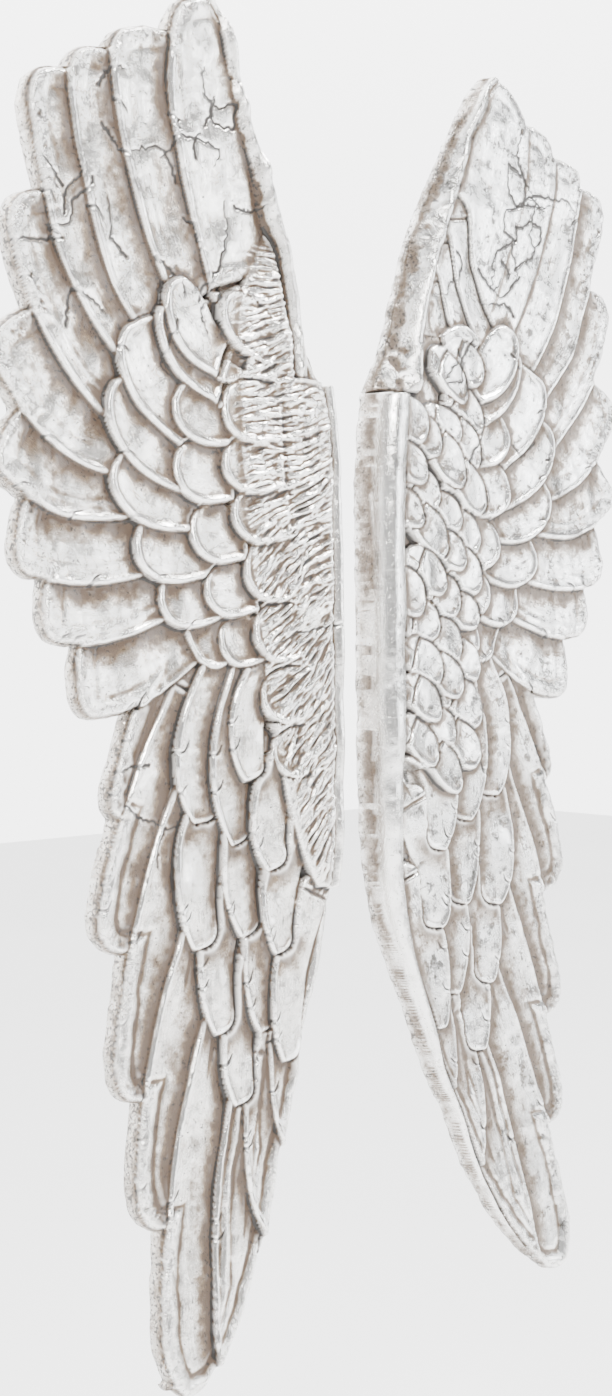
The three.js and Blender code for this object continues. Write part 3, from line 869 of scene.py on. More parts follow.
    def finish(self, sheet: Sheet) -> None:
        """Rounds the outer edges, roughens the surface and softens it as a casting.

        Args:
            sheet: The wing's sheet.
        """
        e = sheet
        flight = np.isin(
            e.owner, [TIER_ORDER.index(t) for t in (Tier.TERTIALS, Tier.SECONDARIES, Tier.PRIMARIES)]
        )
        e.inside += (1.1 * value_noise(e.u.shape, (15, 15), 62)
                     + 0.5 * value_noise(e.u.shape, (6, 6), 63) - 0.6)
        roll = (2.1 * np.exp(-(((e.inside - 7.5) / 5.0) ** 2))
                - 1.2 * np.exp(-(((e.inside - 16.0) / 2.6) ** 2)))
        e.height += roll * flight * (0.35 + 0.65 * smooth(560.0 - e.v, 0.0, 60.0))
        fall = 1.0 - np.clip((e.inside - 0.6) / 7.0, 0.0, 1.0)
        e.height -= np.where(flight, 4.5 * (1.0 - np.sqrt(1.0 - fall**2)), 0.0)
        border = smooth(14.0 - e.inside + 6.0 * value_noise(e.u.shape, (22, 22), 41), 0.0, 10.0) * flight
        e.rough = np.maximum(e.rough, border)
        e.height += 1.5 * value_noise(e.u.shape, (38, 24), 42) + 0.6 * value_noise(e.u.shape, (17, 11), 47)
        e.height += 0.16 * value_noise(e.u.shape, (5, 5), 43)
        pits = value_noise(e.u.shape, (2.6, 2.6), 44) * value_noise(e.u.shape, (7, 7), 45)
        e.height += e.rough * (0.9 * value_noise(e.u.shape, (7, 7), 46) - 2.2 * np.clip(pits, 0, 1))
        known = (e.owner >= 0).astype(float)
        spread = blur(known, 2.0)
        filled = blur(e.height * known, 2.0) / np.maximum(spread, 1e-3)
        e.height = np.where(e.owner >= 0, e.height, filled)
        e.height = blur(e.height, 0.7)
        border_band = ((e.inside > 0.3) & (e.inside < 5.0)).astype(float)
        level = blur(e.crest * border_band, 3.0) / np.maximum(blur(border_band, 3.0), 1e-3)
        e.rim_height = level - 6.0


# ---------------------------------------------------------------------------------------------
# From sheet to meshes
# ---------------------------------------------------------------------------------------------


@dataclass
class WingPlace:
    """Where a wing stands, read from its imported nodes."""

    side: Side
    design_height: float = 1060.0
    flat_middle: float = 560.0
    flat_half: float = 150.0
    top_bow: float = 22.0
    tip_bow: float = 42.0
    gap: float = 18.0

    def __post_init__(self) -> None:
        """Reads the tip's height above or below the origin."""
        primaries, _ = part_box(f"{self.side.word}_primaries")
        self.foot = primaries.z / MM + 0.9

    def place(self, u: Array, v: Array, depth: Array) -> Array:
        """Points of the sheet in the row frame.

        Args:
            u: Distances out.
            v: Heights up.
            depth: Distances from the wall, before the wing's bow.

        Returns:
            An array of rows (x, y, z) in metres.
        """
        above = np.maximum(0.0, v - self.flat_middle - self.flat_half)
        below = np.maximum(0.0, self.flat_middle - self.flat_half - v)
        bow = self.top_bow * (above / (self.design_height - self.flat_middle - self.flat_half)) ** 2
        bow = bow + self.tip_bow * (below / (self.flat_middle - self.flat_half)) ** 2
        return np.stack([self.side.value * (self.gap + 0.989 * u), -(depth + bow), v + self.foot], -1) * MM


SEAT = 10.5  # how far from the wall the carved pieces start
OUTLINE_GUIDES = {"wash_and_shade": 0.28, "rub": 0.05, "line": 0.0}  # their values along the outer rim
WALL_RINGS = ((0.4, 0.9), (0.8, 0.5), (1.0, -1.4))  # share of the way down, and how far it bulges


def tidy_cells(mask: Array) -> Array:
    """Removes cells that touch only at a corner, so that a piece's wall never pinches.

    Args:
        mask: Which cells belong to the piece.

    Returns:
        The mask without those cells.
    """
    out = mask.copy()
    for _ in range(4):
        a, b, c, d = out[:-1, :-1], out[:-1, 1:], out[1:, :-1], out[1:, 1:]
        one, two = a & d & ~b & ~c, b & c & ~a & ~d
        if not (one.any() or two.any()):
            break
        out[:-1, :-1] &= ~one
        out[:-1, 1:] &= ~two
    return out


@dataclass
class Patch:
    """A closed piece cut from a sheet: its carved front, its walls and its flat back."""

    sheet: Sheet
    place: WingPlace
    cells: Array
    seat: float = SEAT

    def mesh(self, name: str) -> bpy.types.Mesh:
        """Builds the mesh with its attributes.

        Args:
            name: The mesh's name.

        Returns:
            The mesh.
        """
        sh = self.sheet
        rows, cols = self.cells.shape
        node = np.full((rows + 1, cols + 1), -1, int)
        j, i = np.nonzero(self.cells)
        used = np.zeros(node.shape, bool)
        for dj, di in ((0, 0), (0, 1), (1, 0), (1, 1)):
            used[j + dj, i + di] = True
        node[used] = np.arange(used.sum())
        quads = np.stack([node[j, i], node[j, i + 1], node[j + 1, i + 1], node[j + 1, i]], 1)
        gone = ~np.pad(self.cells, 1)
        walls = []
        for dj, di, a, b in ((-1, 0, (0, 0), (0, 1)), (0, 1, (0, 1), (1, 1)),
                             (1, 0, (1, 1), (1, 0)), (0, -1, (1, 0), (0, 0))):
            open_side = gone[j + 1 + dj, i + 1 + di]
            jj, ii = j[open_side], i[open_side]
            walls.append(np.stack([node[jj + a[0], ii + a[1]], node[jj + b[0], ii + b[1]]], 1))
        walls = np.vstack(walls)
        rim = np.unique(walls)
        gv, gu = np.gradient(sh.inside)
        size = np.maximum(np.hypot(gu, gv), 0.3)
        gu, gv = gu / size, gv / size
        uj, ui = np.nonzero(used)
        at_rim = np.zeros(len(uj), bool)
        at_rim[rim] = True
        near = at_rim & (np.abs(sh.inside[uj, ui]) < 3.0)
        shift = np.where(near, np.clip(sh.inside[uj, ui], -1.0, 1.0), 0.0)
        u = sh.u[uj, ui] - shift * gu[uj, ui]
        v = sh.v[uj, ui] - shift * gv[uj, ui]
        h = np.where(near, sh.rim_height[uj, ui], sh.height[uj, ui])
        points = [self.place.place(u, v, h)]
        ring_of = np.full(len(uj), -1)
        ring_of[rim] = np.arange(len(rim))
        free = near[rim].astype(float)
        wobble = value_noise(sh.u.shape, (6, 6), 71)[uj[rim], ui[rim]]
        for share, bulge in WALL_RINGS:
            push = free * (bulge + 0.7 * wobble * (share < 1.0))
            points.append(self.place.place(
                u[rim] - push * gu[uj[rim], ui[rim]],
                v[rim] - push * gv[uj[rim], ui[rim]],
                h[rim] + share * (self.seat - h[rim]),
            ))
        faces = [quads]
        count = len(uj)
        above = walls
        for k in range(len(WALL_RINGS)):
            below = ring_of[walls] + count + k * len(rim)
            faces.append(np.stack([above[:, 1], above[:, 0], below[:, 0], below[:, 1]], 1))
            above = below
        last = count + (len(WALL_RINGS) - 1) * len(rim)
        back = self.back_faces(node, ring_of, last)
        polygons = [list(map(int, q)) for q in np.vstack(faces)] + back
        if self.place.side is Side.LEFT:
            polygons = [p[::-1] for p in polygons]
        made = bpy.data.meshes.new(name)
        made.from_pydata(np.vstack(points).tolist(), [], polygons)
        made.shade_smooth()
        self.creases(made, rim, len(uj), near, len(back))
        self.attributes(made, uj, ui, rim, near)
        return made

    def creases(self, made: bpy.types.Mesh, rim: Array, front: int, near: Array, backs: int) -> None:
        """Keeps the shading apart at inner walls and on the back.

        Args:
            made: The mesh.
            rim: The numbers of the front's rim vertices.
            front: How many vertices the front has.
            near: Which front vertices lie on the wing's own outline.
            backs: How many faces the back has.
        """
        inner = np.zeros(len(made.vertices), bool)
        inner[rim] = ~near[rim]
        ends = np.zeros(len(made.edges) * 2, int)
        made.edges.foreach_get("vertices", ends)
        ends = ends.reshape(-1, 2)
        sharp = inner[ends].all(1) & (ends < front).all(1)
        made.attributes.new("sharp_edge", "BOOLEAN", "EDGE").data.foreach_set("value", sharp)
        flat = np.zeros(len(made.polygons), bool)
        flat[-backs:] = True
        if "sharp_face" not in made.attributes:
            made.attributes.new("sharp_face", "BOOLEAN", "FACE")
        made.attributes["sharp_face"].data.foreach_set("value", flat)

    def back_faces(self, node: Array, ring_of: Array, last: int) -> list[list[int]]:
        """The flat back, one face for each run of cells in a row.

        Args:
            node: The vertex of each node of the sheet, or -1.
            ring_of: Each vertex's place on the rim, or -1.
            last: The number of the first vertex of the rearmost ring.

        Returns:
            The faces.
        """
        lines = []
        for row_nodes in node:
            at = np.nonzero(row_nodes >= 0)[0]
            at = at[ring_of[row_nodes[at]] >= 0]
            lines.append((at, ring_of[row_nodes[at]] + last))
        faces = []
        for j, cells in enumerate(self.cells):
            edges = np.flatnonzero(np.diff(np.concatenate([[0], cells.astype(int), [0]])))
            for start, stop in zip(edges[::2], edges[1::2]):
                loop = []
                for (at, vertex), step in ((lines[j], -1), (lines[j + 1], 1)):
                    keep = vertex[(at >= start) & (at <= stop)]
                    loop.extend(keep[::step].tolist())
                faces.append([int(x) for x in loop])
        return faces

    def attributes(self, made: bpy.types.Mesh, uj: Array, ui: Array, rim: Array, near: Array) -> None:
        """Stores the finish's guides on the mesh's vertices, the painted shadow and the painted highlight
        among them.

        Args:
            made: The piece's mesh.
            uj: Each front vertex's row in the sheet.
            ui: Each front vertex's column.
            rim: The front vertices round the outline.
            near: Which front vertices lie at the wing's own outer edge.
        """
        sh = self.sheet
        turns = len(WALL_RINGS)
        wall_line = [np.zeros(len(rim))] * turns
        for name, grid, wall in (
            ("wash_and_shade", sh.wash_and_shade, None), ("rub", sh.rub, None), ("line", sh.line, wall_line),
            ("rough", sh.rough, [np.maximum(sh.rough[uj[rim], ui[rim]], 0.45)] * turns),
            ("tone", sh.tone, None),
        ):
            values = grid[uj, ui].copy()
            if name in OUTLINE_GUIDES:
                values[rim[near[rim]]] = OUTLINE_GUIDES[name]
            rings = wall if wall is not None else [values[rim] * 0.6] * turns
            layer = made.attributes.new(name, "FLOAT", "POINT")
            layer.data.foreach_set("value", np.concatenate([values, *rings]).astype(np.float32))
        grain = sh.grain[uj, ui]
        grain = np.vstack([grain] + [grain[rim]] * turns)
        layer = made.attributes.new("grain", "FLOAT_VECTOR", "POINT")
        layer.data.foreach_set(
            "vector", np.hstack([grain, np.zeros((len(grain), 1))]).astype(np.float32).ravel()
        )


def wash_and_rub(sheet: Sheet) -> None:
    """Works out where the brown patina gathers, where painted shadow falls beside the lips, and where the
    high points are rubbed bright and carry a painted highlight.

    Args:
        sheet: The wing's sheet, which takes the results.
    """
    h = sheet.height
    close, wide, broad = blur(h, 1.6), blur(h, 4.0), blur(h, 9.0)
    pool = np.clip((close - h) / 0.6, 0, 1.2) + np.clip((wide - h) / 1.9, 0, 1.2)
    pool = pool + 0.6 * np.clip((broad - h) / 4.0, 0, 1)
    # The brown patina that pools in the hollows, with the painted shadow beside the lips mixed in.
    sheet.wash_and_shade = np.clip(pool * 0.38 + 0.62 * blur(sheet.shade, 1.2), 0.0, 1.0)
    raised = np.clip((h - close) / 0.5, 0.0, 1.0) * 0.6 + np.clip((h - wide) / 1.8, 0.0, 1.0) * 0.5
    # The high points: leaf rubbed through to bright silver, and a painted highlight.
    sheet.rub = np.clip(raised, 0.0, 1.0)
    deep = smooth((close - h) / 0.9, 0.4, 1.1) * 0.8
    within = smooth(sheet.inside, 1.0, 8.0)  # the patina and the painted shadow are kept faint on the outer edges as they fall away
    sheet.wash_and_shade *= 0.12 + 0.88 * within
    # Darker along the wing's own outline.
    sheet.wash_and_shade += 0.42 * np.exp(-((sheet.inside / 2.2) ** 2))
    sheet.line = np.clip(np.maximum(sheet.line * 1.1, deep * within), 0.0, 1.0)


# ---------------------------------------------------------------------------------------------
# Shader sums
# ---------------------------------------------------------------------------------------------


@dataclass(frozen=True)
class Value:
    """A socket that can be used in ordinary arithmetic."""

    tree: bpy.types.NodeTree
    socket: bpy.types.NodeSocket

    def sum_of(self, operation: str, *others: "Value | float") -> "Value":
        """Adds a maths node.

        Args:
            operation: The node's operation.
            others: The inputs after this one.

        Returns:
            The node's output.
        """
        node = self.tree.nodes.new("ShaderNodeMath")
        node.operation = operation
        for slot, item in zip(node.inputs, (self, *others)):
            if isinstance(item, Value):
                self.tree.links.new(item.socket, slot)
            else:
                slot.default_value = item
        return Value(self.tree, node.outputs[0])

    def constant(self, number: float) -> "Value":
        """A number as a value of the same tree."""
        node = self.tree.nodes.new("ShaderNodeValue")
        node.outputs[0].default_value = number
        return Value(self.tree, node.outputs[0])

    def __add__(self, other: "Value | float") -> "Value":
        """Sum."""
        return self.sum_of("ADD", other)

    __radd__ = __add__

    def __sub__(self, other: "Value | float") -> "Value":
        """Difference."""
        return self.sum_of("SUBTRACT", other)

    def __rsub__(self, other: float) -> "Value":
        """Difference from a number."""
        return self.constant(other) - self

    def __mul__(self, other: "Value | float") -> "Value":
        """Product."""
        return self.sum_of("MULTIPLY", other)

    __rmul__ = __mul__

    def __truediv__(self, other: "Value | float") -> "Value":
        """Quotient."""
        return self.sum_of("DIVIDE", other)

    def over(self, low: float, high: float) -> "Value":
        """A smooth step from 0 at low to 1 at high.

        Args:
            low: The value that gives 0.
            high: The value that gives 1.

        Returns:
            The stepped value.
        """
        node = self.tree.nodes.new("ShaderNodeMapRange")
        node.interpolation_type = "SMOOTHSTEP"
        self.tree.links.new(self.socket, node.inputs[0])
        for slot, number in zip(list(node.inputs)[1:5], (low, high, 0.0, 1.0)):
            slot.default_value = number
        return Value(self.tree, node.outputs[0])

    def clipped(self) -> "Value":
        """The value held between 0 and 1."""
        return self.sum_of("MAXIMUM", 0.0).sum_of("MINIMUM", 1.0)


Colour = tuple[float, float, float]


@dataclass
class Shader:
    """A material under construction."""

    name: str
    material: bpy.types.Material = field(init=False)

    def __post_init__(self) -> None:
        """Makes the material and keeps its shader node."""
        self.material = bpy.data.materials.new(self.name)
        self.material.use_nodes = True
        self.tree = self.material.node_tree
        self.bsdf = self.tree.nodes["Principled BSDF"]

    def node(self, kind: str, settings: dict | None = None, inputs: dict | None = None) -> bpy.types.Node:
        """Adds a node.

        Args:
            kind: Its type.
            settings: Its properties.
            inputs: Its inputs by name, as values, sockets or constants.

        Returns:
            The node.
        """
        made = self.tree.nodes.new(kind)
        for key, item in (settings or {}).items():
            setattr(made, key, item)
        for key, item in (inputs or {}).items():
            source = item.socket if isinstance(item, Value) else item
            if isinstance(source, bpy.types.NodeSocket):
                self.tree.links.new(source, made.inputs[key])
            else:
                made.inputs[key].default_value = source
        return made

    def value(self, socket: bpy.types.NodeSocket) -> Value:
        """Wraps a socket for arithmetic."""
        return Value(self.tree, socket)

    def guide(self, name: str) -> Value:
        """One of the mesh's own number attributes."""
        return self.value(self.node("ShaderNodeAttribute", {"attribute_name": name}).outputs["Fac"])

    def noise(self, scale: float, detail: float = 3.0, rough: float = 0.55,
              stretch: tuple[float, float, float] = (1, 1, 1), source: str = "") -> Value:
        """Noise over the object, or over one of its vector attributes.

        Args:
            scale: Its scale.
            detail: Its octaves.
            rough: How strong the fine octaves are.
            stretch: Factors on the coordinates.
            source: A vector attribute, or nothing for object coordinates.

        Returns:
            The noise, from 0 to 1.
        """
        if source:
            at = self.node("ShaderNodeAttribute", {"attribute_name": source}).outputs["Vector"]
        else:
            at = self.node("ShaderNodeTexCoord").outputs["Object"]
        mapped = self.node("ShaderNodeVectorMath", {"operation": "MULTIPLY"}, {0: at, 1: stretch})
        made = self.node("ShaderNodeTexNoise", {}, {
            "Vector": mapped.outputs[0], "Scale": scale, "Detail": detail, "Roughness": rough,
        })
        return self.value(made.outputs["Fac"])

    def mix(self, factor: Value | float, first: object, second: object) -> bpy.types.NodeSocket:
        """A blend of two colours.

        Args:
            factor: How much of the second.
            first: A colour or a socket.
            second: A colour or a socket.

        Returns:
            The blended colour's socket.
        """
        made = self.node("ShaderNodeMix", {"data_type": "RGBA"})
        for index, item in ((0, factor), (6, first), (7, second)):
            source = item.socket if isinstance(item, Value) else item
            if isinstance(source, bpy.types.NodeSocket):
                self.tree.links.new(source, made.inputs[index])
            else:
                made.inputs[index].default_value = (*source, 1.0) if index else source
        return made.outputs[2]

    def set(self, **inputs: object) -> None:
        """Sets the shader's inputs, given by name with underscores for spaces."""
        for key, item in inputs.items():
            slot = self.bsdf.inputs[key.replace("_", " ")]
            source = item.socket if isinstance(item, Value) else item
            if isinstance(source, bpy.types.NodeSocket):
                self.tree.links.new(source, slot)
            else:
                slot.default_value = (*item, 1.0) if isinstance(item, tuple) else item

    def bump(self, height: Value, distance: float, strength: float = 1.0) -> None:
        """Feeds a height in metres' terms into the shader's normal."""
        made = self.node("ShaderNodeBump", {}, {
            "Strength": strength, "Distance": distance, "Height": height,
        })
        self.tree.links.new(made.outputs[0], self.bsdf.inputs["Normal"])


@dataclass(frozen=True)
class SilverLeaf:
    """Antiqued silver leaf over the casting, with a brown patina in its hollows, painted shadow beside the
    feathers' lips and painted highlights on its high points.
    """

    bright: Colour = (0.90, 0.88, 0.845)
    dull: Colour = (0.70, 0.675, 0.635)
    tan: Colour = (0.225, 0.162, 0.105)
    brown: Colour = (0.070, 0.042, 0.024)
    tarnish: Colour = (0.135, 0.130, 0.122)
    dark: Colour = (0.012, 0.009, 0.007)
    metal: float = 0.88
    # Strength of the brown patina together with the painted shadow.
    wash_and_shade: float = 1.0
    grey: float = 0.42
    name: str = "silver_leaf"

    def build(self) -> bpy.types.Material:
        """Builds the finish.

        Returns:
            The material.
        """
        sh = Shader(self.name)
        wash_and_shade, rub, line = sh.guide("wash_and_shade"), sh.guide("rub"), sh.guide("line")
        rough, tone = sh.guide("rough"), sh.guide("tone")
        streaks = sh.noise(1.0, 4.0, 0.6, (0.035, 0.55, 1.0), "grain")
        fine_streaks = sh.noise(1.0, 3.0, 0.6, (0.12, 1.6, 1.0), "grain")
        clouds = sh.noise(26.0, 4.0, 0.6)
        patches = sh.noise(90.0, 5.0, 0.65)
        grit = sh.noise(620.0, 3.0, 0.7)
        specks = sh.noise(330.0, 2.0, 0.6)
        dullness = (streaks - 0.5) * 2.2 + (clouds - 0.5) * 0.9 + (patches - 0.5) * 0.9
        dullness = dullness + tone * 0.10 + 0.32
        colour = sh.mix(dullness.clipped(), self.bright, self.dull)
        mottle = (patches * 1.4 + clouds * 1.1 + streaks * 0.6 - 1.53 + rough * 0.20).over(0.03, 0.19)
        flecks = (grit * 0.7 + patches - 0.85 + rough * 0.03).over(0.06, 0.15)
        colour = sh.mix((mottle * (0.5 + flecks) * self.grey).clipped(), colour, self.tarnish)
        broken = (grit - 0.5) * 0.55 + (patches - 0.5) * 1.0
        # Tan, then brown: the patina in the hollows together with painted shadow beside the lips.
        haze_and_shade = (wash_and_shade * 1.9 + broken * 0.5).over(0.05, 0.75) * self.wash_and_shade
        colour = sh.mix((haze_and_shade * (1.0 - rub * 0.5)).clipped(), colour, self.tan)
        stain_and_shade = (wash_and_shade * 1.3 + broken * wash_and_shade.over(0.02, 0.25) - 0.10).over(0.14, 0.58) * self.wash_and_shade
        colour = sh.mix((stain_and_shade * (1.0 - rub * 0.6)).clipped(), colour, self.brown)
        cracks = (line * 1.35 + broken * 0.6).over(0.38, 0.62) * 0.97
        colour = sh.mix(cracks, colour, self.dark)
        pits = (specks + rough * 0.115 + wash_and_shade * 0.09).over(0.665, 0.715) * 0.85
        colour = sh.mix(pits, colour, self.dark)
        # Painted highlight on the high points, together with leaf rubbed through to bright silver.
        colour = sh.mix((rub * 0.8).clipped(), colour, (0.97, 0.955, 0.93))
        darkened = (stain_and_shade + cracks + pits).clipped()
        roughness = 0.25 + (fine_streaks - 0.5) * 0.16 + (patches - 0.5) * 0.22 + darkened * 0.30 - rub * 0.13
        sh.set(Base_Color=colour, Metallic=(self.metal - darkened * self.metal).clipped(),
               Roughness=roughness.clipped(), Coat_Weight=0.25, Coat_Roughness=0.16)
        height = (fine_streaks - 0.5) * 0.7 + (grit - 0.5) * (0.25 + rough * 0.9) + (patches - 0.5) * 0.9
        sh.bump(height - pits * 0.6, 0.0005, 0.75)
        return sh.material


@dataclass(frozen=True)
class BareCast:
    """The bare back of the casting: matt grey-brown resin with flow marks."""

    light: Colour = (0.17, 0.155, 0.135)
    shade: Colour = (0.10, 0.09, 0.078)

    def build(self) -> bpy.types.Material:
        """Builds the finish.

        Returns:
            The material.
        """
        sh = Shader("bare_cast")
        flow, grit = sh.noise(22.0, 5.0, 0.6), sh.noise(420.0, 3.0, 0.6)
        specks = sh.noise(260.0, 2.0, 0.5).over(0.66, 0.72)
        colour = sh.mix(flow.over(0.35, 0.65), self.light, self.shade)
        colour = sh.mix(specks * 0.7, colour, (0.10, 0.09, 0.08))
        sh.set(Base_Color=colour, Roughness=0.72 + (grit - 0.5) * 0.3)
        sh.bump(flow * 1.2 + grit * 0.5, 0.0006, 0.8)
        return sh.material


@dataclass(frozen=True)
class Plate:
    """A plated or drawn metal with fine scratches."""

    name: str
    light: Colour
    shade: Colour
    roughness: float
    stretch: tuple[float, float, float] = (1.0, 1.0, 0.12)

    def build(self) -> bpy.types.Material:
        """Builds the finish.

        Returns:
            The material.
        """
        sh = Shader(self.name)
        scratches = sh.noise(900.0, 3.0, 0.6, self.stretch)
        spots = sh.noise(260.0, 4.0, 0.6)
        colour = sh.mix(spots.over(0.45, 0.7), self.light, self.shade)
        sh.set(Base_Color=colour, Metallic=1.0,
               Roughness=self.roughness + (scratches - 0.5) * 0.2 + (spots - 0.5) * 0.15)
        sh.bump(scratches, 0.00012, 0.6)
        return sh.material


@dataclass(frozen=True)
class SoftRubber:
    """Clear-grey moulded rubber, slightly dusty."""

    def build(self) -> bpy.types.Material:
        """Builds the finish.

        Returns:
            The material.
        """
        sh = Shader("rubber")
        dust, grain = sh.noise(180.0, 4.0, 0.6), sh.noise(900.0, 2.0, 0.5)
        colour = sh.mix(dust.over(0.4, 0.7), (0.055, 0.053, 0.05), (0.15, 0.145, 0.135))
        sh.set(Base_Color=colour, Roughness=0.62 + (dust - 0.5) * 0.3)
        sh.bump(grain, 0.0002, 0.5)
        return sh.material


# ---------------------------------------------------------------------------------------------
# Pieces
# ---------------------------------------------------------------------------------------------


def finished(name: str, mesh: bpy.types.Mesh, material: bpy.types.Material,
             node: str = "") -> bpy.types.Object:
    """Puts a mesh into the scene as a finished piece.

    Args:
        name: The piece's name.
        mesh: Its mesh.
        material: Its finish.
        node: The node that it replaces, if any.

    Returns:
        The piece.
    """
    piece = bpy.data.objects.new(name, mesh)
    bpy.context.scene.collection.objects.link(piece)
    mesh.materials.clear()
    mesh.materials.append(material)
    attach(piece, "root")
    if node:
        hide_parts(node)
    log.info("%s: %d faces", name, len(mesh.polygons))
    return piece


def polar(name: str, rings: list[tuple[float, Callable[[float], float]]], turn: int = 48) -> bpy.types.Mesh:
    """A closed round body on the Z axis, given as rings that may dip as they go round.

    Args:
        name: The mesh's name.
        rings: Radius and height at an angle, from the top's centre to the bottom's.
        turn: Points in a ring.

    Returns:
        The mesh, in metres.
    """
    points, faces = [(0.0, 0.0, rings[0][1](0.0))], []
    for radius, height in rings:
        for k in range(turn):
            a = 2 * math.pi * k / turn
            points.append((radius * math.cos(a), radius * math.sin(a), height(a)))
    points.append((0.0, 0.0, rings[-1][1](0.0)))
    last = len(points) - 1
    for k in range(turn):
        n = (k + 1) % turn
        faces.append((0, 1 + k, 1 + n))
        for r in range(len(rings) - 1):
            a, b = 1 + r * turn, 1 + (r + 1) * turn
            faces.append((a + k, b + k, b + n, a + n))
        end = 1 + (len(rings) - 1) * turn
        faces.append((last, end + n, end + k))
    made = bpy.data.meshes.new(name)
    made.from_pydata([tuple(c * MM for c in p) for p in points], [], faces)
    made.shade_smooth()
    return made


@dataclass(frozen=True)
class GeometryTree:
    """A Geometry Nodes group with one method for adding nodes."""

    name: str

    def start(self) -> tuple[bpy.types.NodeTree, Callable[..., bpy.types.Node]]:
        """Makes the group and the function that adds a node by type, settings and inputs.

        Returns:
            The group, and the function.
        """
        tree = bpy.data.node_groups.new(self.name, "GeometryNodeTree")

        def add(kind: str, settings: dict | None = None, inputs: dict | None = None) -> bpy.types.Node:
            """Adds a node, linking or setting its inputs.

            Args:
                kind: The node's type.
                settings: Its properties by name.
                inputs: Its inputs by name or number: a socket is linked, anything else is set.

            Returns:
                The node.
            """
            made = tree.nodes.new(kind)
            for key, item in (settings or {}).items():
                setattr(made, key, item)
            for key, item in (inputs or {}).items():
                if isinstance(item, bpy.types.NodeSocket):
                    tree.links.new(item, made.inputs[key])
                else:
                    made.inputs[key].default_value = item
            return made

        return tree, add


def through_nodes(name: str, base: bpy.types.Mesh, tree: bpy.types.NodeTree,
                  numbers: dict[str, object]) -> bpy.types.Mesh:
    """Runs a mesh through a node group and returns the plain result.

    Args:
        name: The result's name.
        base: The mesh that goes in.
        tree: The group.
        numbers: The group's inputs by name.

    Returns:
        The evaluated mesh.
    """
    carrier = bpy.data.objects.new(f"{name}_source", base)
    bpy.context.scene.collection.objects.link(carrier)
    modifier = carrier.modifiers.new("nodes", "NODES")
    modifier.node_group = tree
    for item in tree.interface.items_tree:
        if item.item_type == "SOCKET" and item.name in numbers:
            modifier[item.identifier] = numbers[item.name]
    graph = bpy.context.evaluated_depsgraph_get()
    made = bpy.data.meshes.new_from_object(carrier.evaluated_get(graph), depsgraph=graph)
    made.name = name
    carrier.modifiers.remove(modifier)
    bpy.data.objects.remove(carrier)
    return made


def wire_tree(material: bpy.types.Material) -> bpy.types.NodeTree:
    """A group that runs round wire along the edges of a mesh.

    Args:
        material: The wire's finish.

    Returns:
        The group.
    """
    tree, add = GeometryTree("wire").start()
    tree.interface.new_socket("Geometry", in_out="INPUT", socket_type="NodeSocketGeometry")
    tree.interface.new_socket("Radius", in_out="INPUT", socket_type="NodeSocketFloat")
    tree.interface.new_socket("Sides", in_out="INPUT", socket_type="NodeSocketInt")
    tree.interface.new_socket("Geometry", in_out="OUTPUT", socket_type="NodeSocketGeometry")
    source = add("NodeGroupInput")
    curve = add("GeometryNodeMeshToCurve", {}, {"Mesh": source.outputs["Geometry"]})
    ring = add("GeometryNodeCurvePrimitiveCircle", {}, {
        "Resolution": source.outputs["Sides"], "Radius": source.outputs["Radius"],
    })
    swept = add("GeometryNodeCurveToMesh", {}, {
        "Curve": curve.outputs[0], "Profile Curve": ring.outputs[0], "Fill Caps": True,
    })
    real = add("GeometryNodeRealizeInstances", {}, {0: swept.outputs[0]})
    dressed = add("GeometryNodeSetMaterial", {}, {"Geometry": real.outputs[0], "Material": material})
    tree.links.new(dressed.outputs[0], add("NodeGroupOutput").inputs[0])
    return tree


